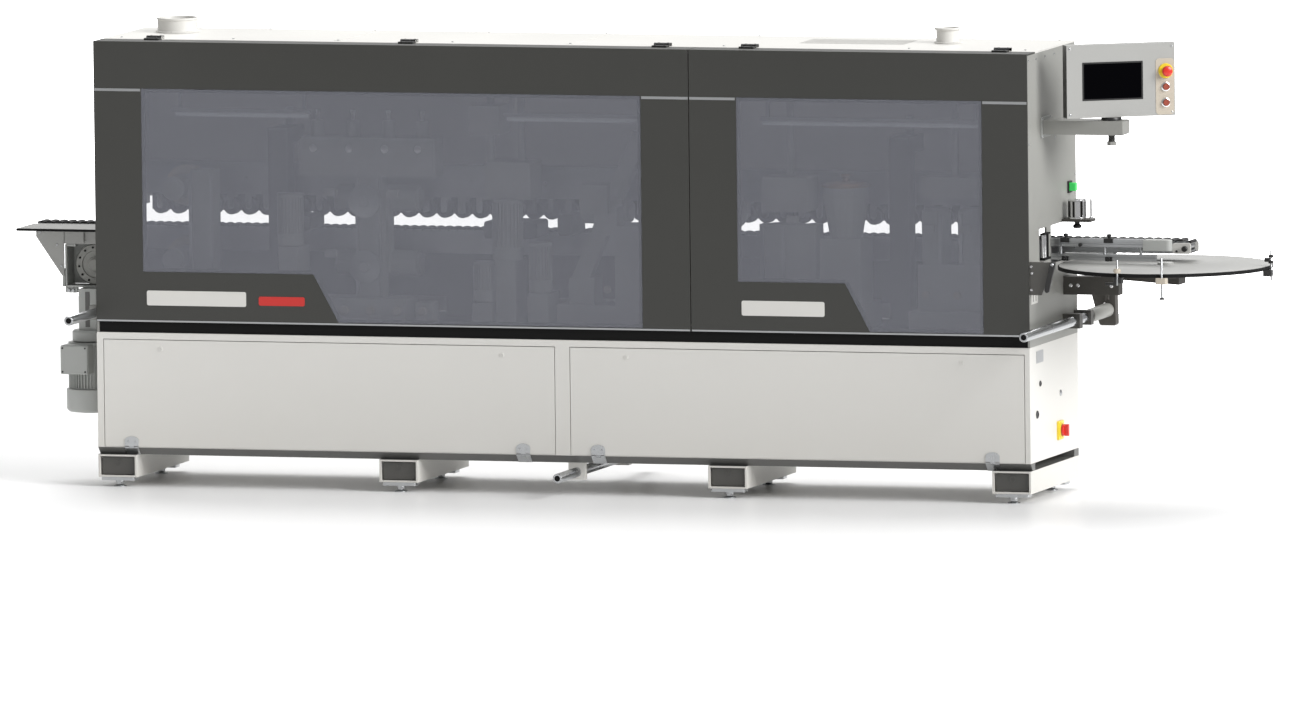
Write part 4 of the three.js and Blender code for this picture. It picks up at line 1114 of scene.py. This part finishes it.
def finned_motor(shape, x, y, low, high, radius):
    """Upright motor with cooling fins, fan cover below and a flange on top."""
    shape.turned("z",
        (x, y), [(0, low + 50), (radius - 7, low + 50), (radius - 7, high - 12), (0, high - 12)])
    shape.turned("z", (x, y), [(0, high - 12.2), (radius, high - 12.2), (radius, high), (0, high)])
    shape.turned("z",
        (x, y), [(0, low), (radius - 8, low), (radius, low + 8), (radius, low + 50), (0, low + 50)])
    for k in range(24):
        angle = 2 * math.pi * k / 24
        way, side = Vector((math.cos(angle), math.sin(angle))), Vector((-math.sin(angle), math.cos(angle)))
        corners = [way * r + side * t for r,
            t in ((radius - 9, -1.6), (radius, -1.1), (radius, 1.1), (radius - 9, 1.6))]
        shape.prism("z", [(x + c.x, y + c.y) for c in corners], low + 51, high - 13)


def make_unit_motors():
    """Upright motors, each on its own stand, and the chip hoods behind them."""
    motors, stands = Shape(), Shape()
    for x, y, low, high, radius in (
            (713, 175, 900, 1100, 50), (1560, 190, 860, 1089.5, 58), (1470, 185, 700, 855, 44),
            (1690, 180, 740, 930, 44), (2230, 190, 760, 960, 50)):
        finned_motor(motors, x, y, low, high, radius)
        stands.plate("z", (x - 40, x + 40), (y - 40, y + 110), 6, BED_FACE, low - 0.2)
    for x, low, high in ((713, 899, 955), (1560, 859, 935), (2230, 759, 930)):
        stands.box((x - 15, x + 15), (252, 280), (low, high - 0.2))
    stands.plate("z", (1205, 1275), (148, 230), 6, BED_FACE, 700)
    motors.make("unit_motors", "motor_grey", bevel=0)
    hoods = Shape()
    for x, z, top, front, rear in (
            ((655, 775), 955, 1010, 225.3, 396), ((1448, 1655), 935, 1000, 248.3, 396),
            ((1742, 1800), 950, 1030, 230, 396), ((2190, 2300), 930, 1010, 240.3, 318)):
        hoods.plate("y", x, (z, top), 12, front, rear)
    hoods.make("unit_chip_hoods", "charcoal", bevel=2.0)
    stands.make("unit_stands", "motor_grey", bevel=1.5)


def make_unit_details():
    """Cylinders on the trimming block, polishing wheels, glue pot lid, knobs, slides and counters."""
    rods = Shape()
    for x in (800, 940, 1080, 1210):
        rods.turned("z", (x, 250), [(0, 1372), (10, 1372), (10, 1398), (14, 1400), (14, 1412), (0, 1414)],
            sides=28)
        rods.turned("y", (x, 1270), [(0, 200), (15, 200), (15, 188), (9, 185), (0, 185)], sides=28)
    rods.make("trimming_cylinder_ends", "chrome", bevel=0.4)
    plate = Shape().plate("y", (752, 1265), (1178, 1300), 8, 196, 199.8)
    plate.make("trimming_block_cover", "console_grey", bevel=0.8)
    discs = Shape()
    for x, z, radius in ((1010, 1075, 62), (1010, 830, 62), (2440, 1060, 70)):
        discs.turned("y", (x, z), [
            (0, 138), (radius * 0.3, 138), (radius * 0.35, 142), (radius - 4, 146), (radius, 148), (radius,
                164),
            (0, 164)], sides=56)
    discs.make("unit_discs", "machined", bevel=0.5)
    cloth = Shape()
    for z in (1110, 840):
        ruffles = []
        for k in range(96):
            angle = 2 * math.pi * k / 96
            radius = 76 + (1.6 if k % 2 else -1.0) + CHANCE.uniform(-0.7, 0.7)
            ruffles.append((250 + radius * math.cos(angle), z + radius * math.sin(angle)))
        cloth.prism("y", ruffles, 328, 374)
    cloth.make("buffing_cloth_wheels", "cloth_wheel", bevel=0)
    knobs = Shape()
    for x in (935, 1037, 1140, 1242):
        knobs.turned("y", (x, 668), [
            (0, 148), (8, 148), (8, 134), (17, 132), (17, 118), (14, 114), (0, 114)], sides=28)
    for x in (1960, 2620, 2720, 3200, 3320):
        knobs.turned("y", (x, 760), [(0, 178), (7, 178), (7, 160), (15, 158), (15, 146), (0, 143)], sides=28)
    knobs.make("unit_knobs", "cream_plastic", bevel=0.4)
    pot = Shape().turned("z", (2860, 260), [
        (0, 1150.2), (88, 1150.2), (88, 1158), (80, 1164), (16, 1170), (14, 1184), (22, 1188), (22,
            1196), (0, 1198)],
        sides=56)
    pot.make("glue_pot_lid", "copper_pot", bevel=0.5)
    slides = Shape()
    for x, low, high in ((1015, 720, 1160), (3290, 880, 1060), (360, 720, 1170), (2600, 730, 1000)):
        slides.box((x - 46, x - 34), (168, 179.6), (low, high)).box((x + 34, x + 46), (168, 179.6),
            (low, high))
    slides.make("unit_slides", "machined", bevel=0.6)
    boxes = Shape()
    for x, z in (((1420, 1540), (1330, 1440)), ((2560, 2740), (1060, 1190)), ((3180, 3400), (1120, 1200)),
                 ((1850, 1960), (1040, 1150)), ((1480, 1660), (1090, 1230))):
        boxes.plate("y", x, z, 6, 160, 300)
    boxes.make("unit_control_boxes", "console_grey", bevel=1.2)
    posts = Shape()
    for x in (1480, 1600, 2650, 3290):
        posts.box((x - 12, x + 12), (236, 260), (1180, 1641.2))
    posts.box((300, 3400), (236, 260), (1641, 1665))
    posts.make("unit_box_posts", "motor_grey", bevel=1.0)
    counters = Shape()
    for x, z in ((885, 1110), (885, 880), (1130, 1110), (2010, 1090), (2690, 1035), (3220, 1010),
        (3360, 1010)):
        counters.plate("y", (x - 22, x + 22), (z - 14, z + 14), 4, 118, 140)
        counters.bar("y", (x, z), 6, 139.8, 200, sides=18)
    counters.make("unit_counters", "console_grey", bevel=0.8)


def make_lamps():
    """Light strips along the top of the working space."""
    for number, x in enumerate(((260, 800), (1560, 2260), (2560, 3420)), 1):
        holder = Shape().box(x, (150, 176), (1402, 1416)).box((x[0] + 20, x[0] + 34), (160, 170),
            (1416.2, 1640))
        holder.box((x[1] - 34, x[1] - 20), (160, 170), (1416.2, 1640))
        holder.make(f"lamp_holder_{number}", "beam_aluminium", bevel=0.6)
        tube = Shape().bar("x", (163, 1393), 8.5, x[0] + 10, x[1] - 10, sides=28)
        tube.make(f"lamp_tube_{number}", "lamp_tube", bevel=0.4)
    ties = Shape().box((9, 3634), (158, 172), (1641, 1665))
    ties.make("lamp_rail", "beam_aluminium", bevel=0.8)


for build in (
    make_camera, make_materials, make_light, make_floor, dress_cad_nodes, make_feet, make_hood_trim,
    make_gaskets, make_door_frames, make_roof_hinges, make_dust_ports, make_roof_vent,
    make_base_fittings, make_side_fittings, make_rear_details, make_chain, make_conveyor_ends,
    make_outfeed_table, make_gearbox, make_drive_motor, make_entry_gate, make_side_button,
    make_clamp_lever, make_tape_guide, make_coil_tray, make_console, make_panel_support,
    make_pressure_wheels, make_unit_motors, make_unit_details, make_lamps,
):
    build()
bpy.context.view_layer.update()
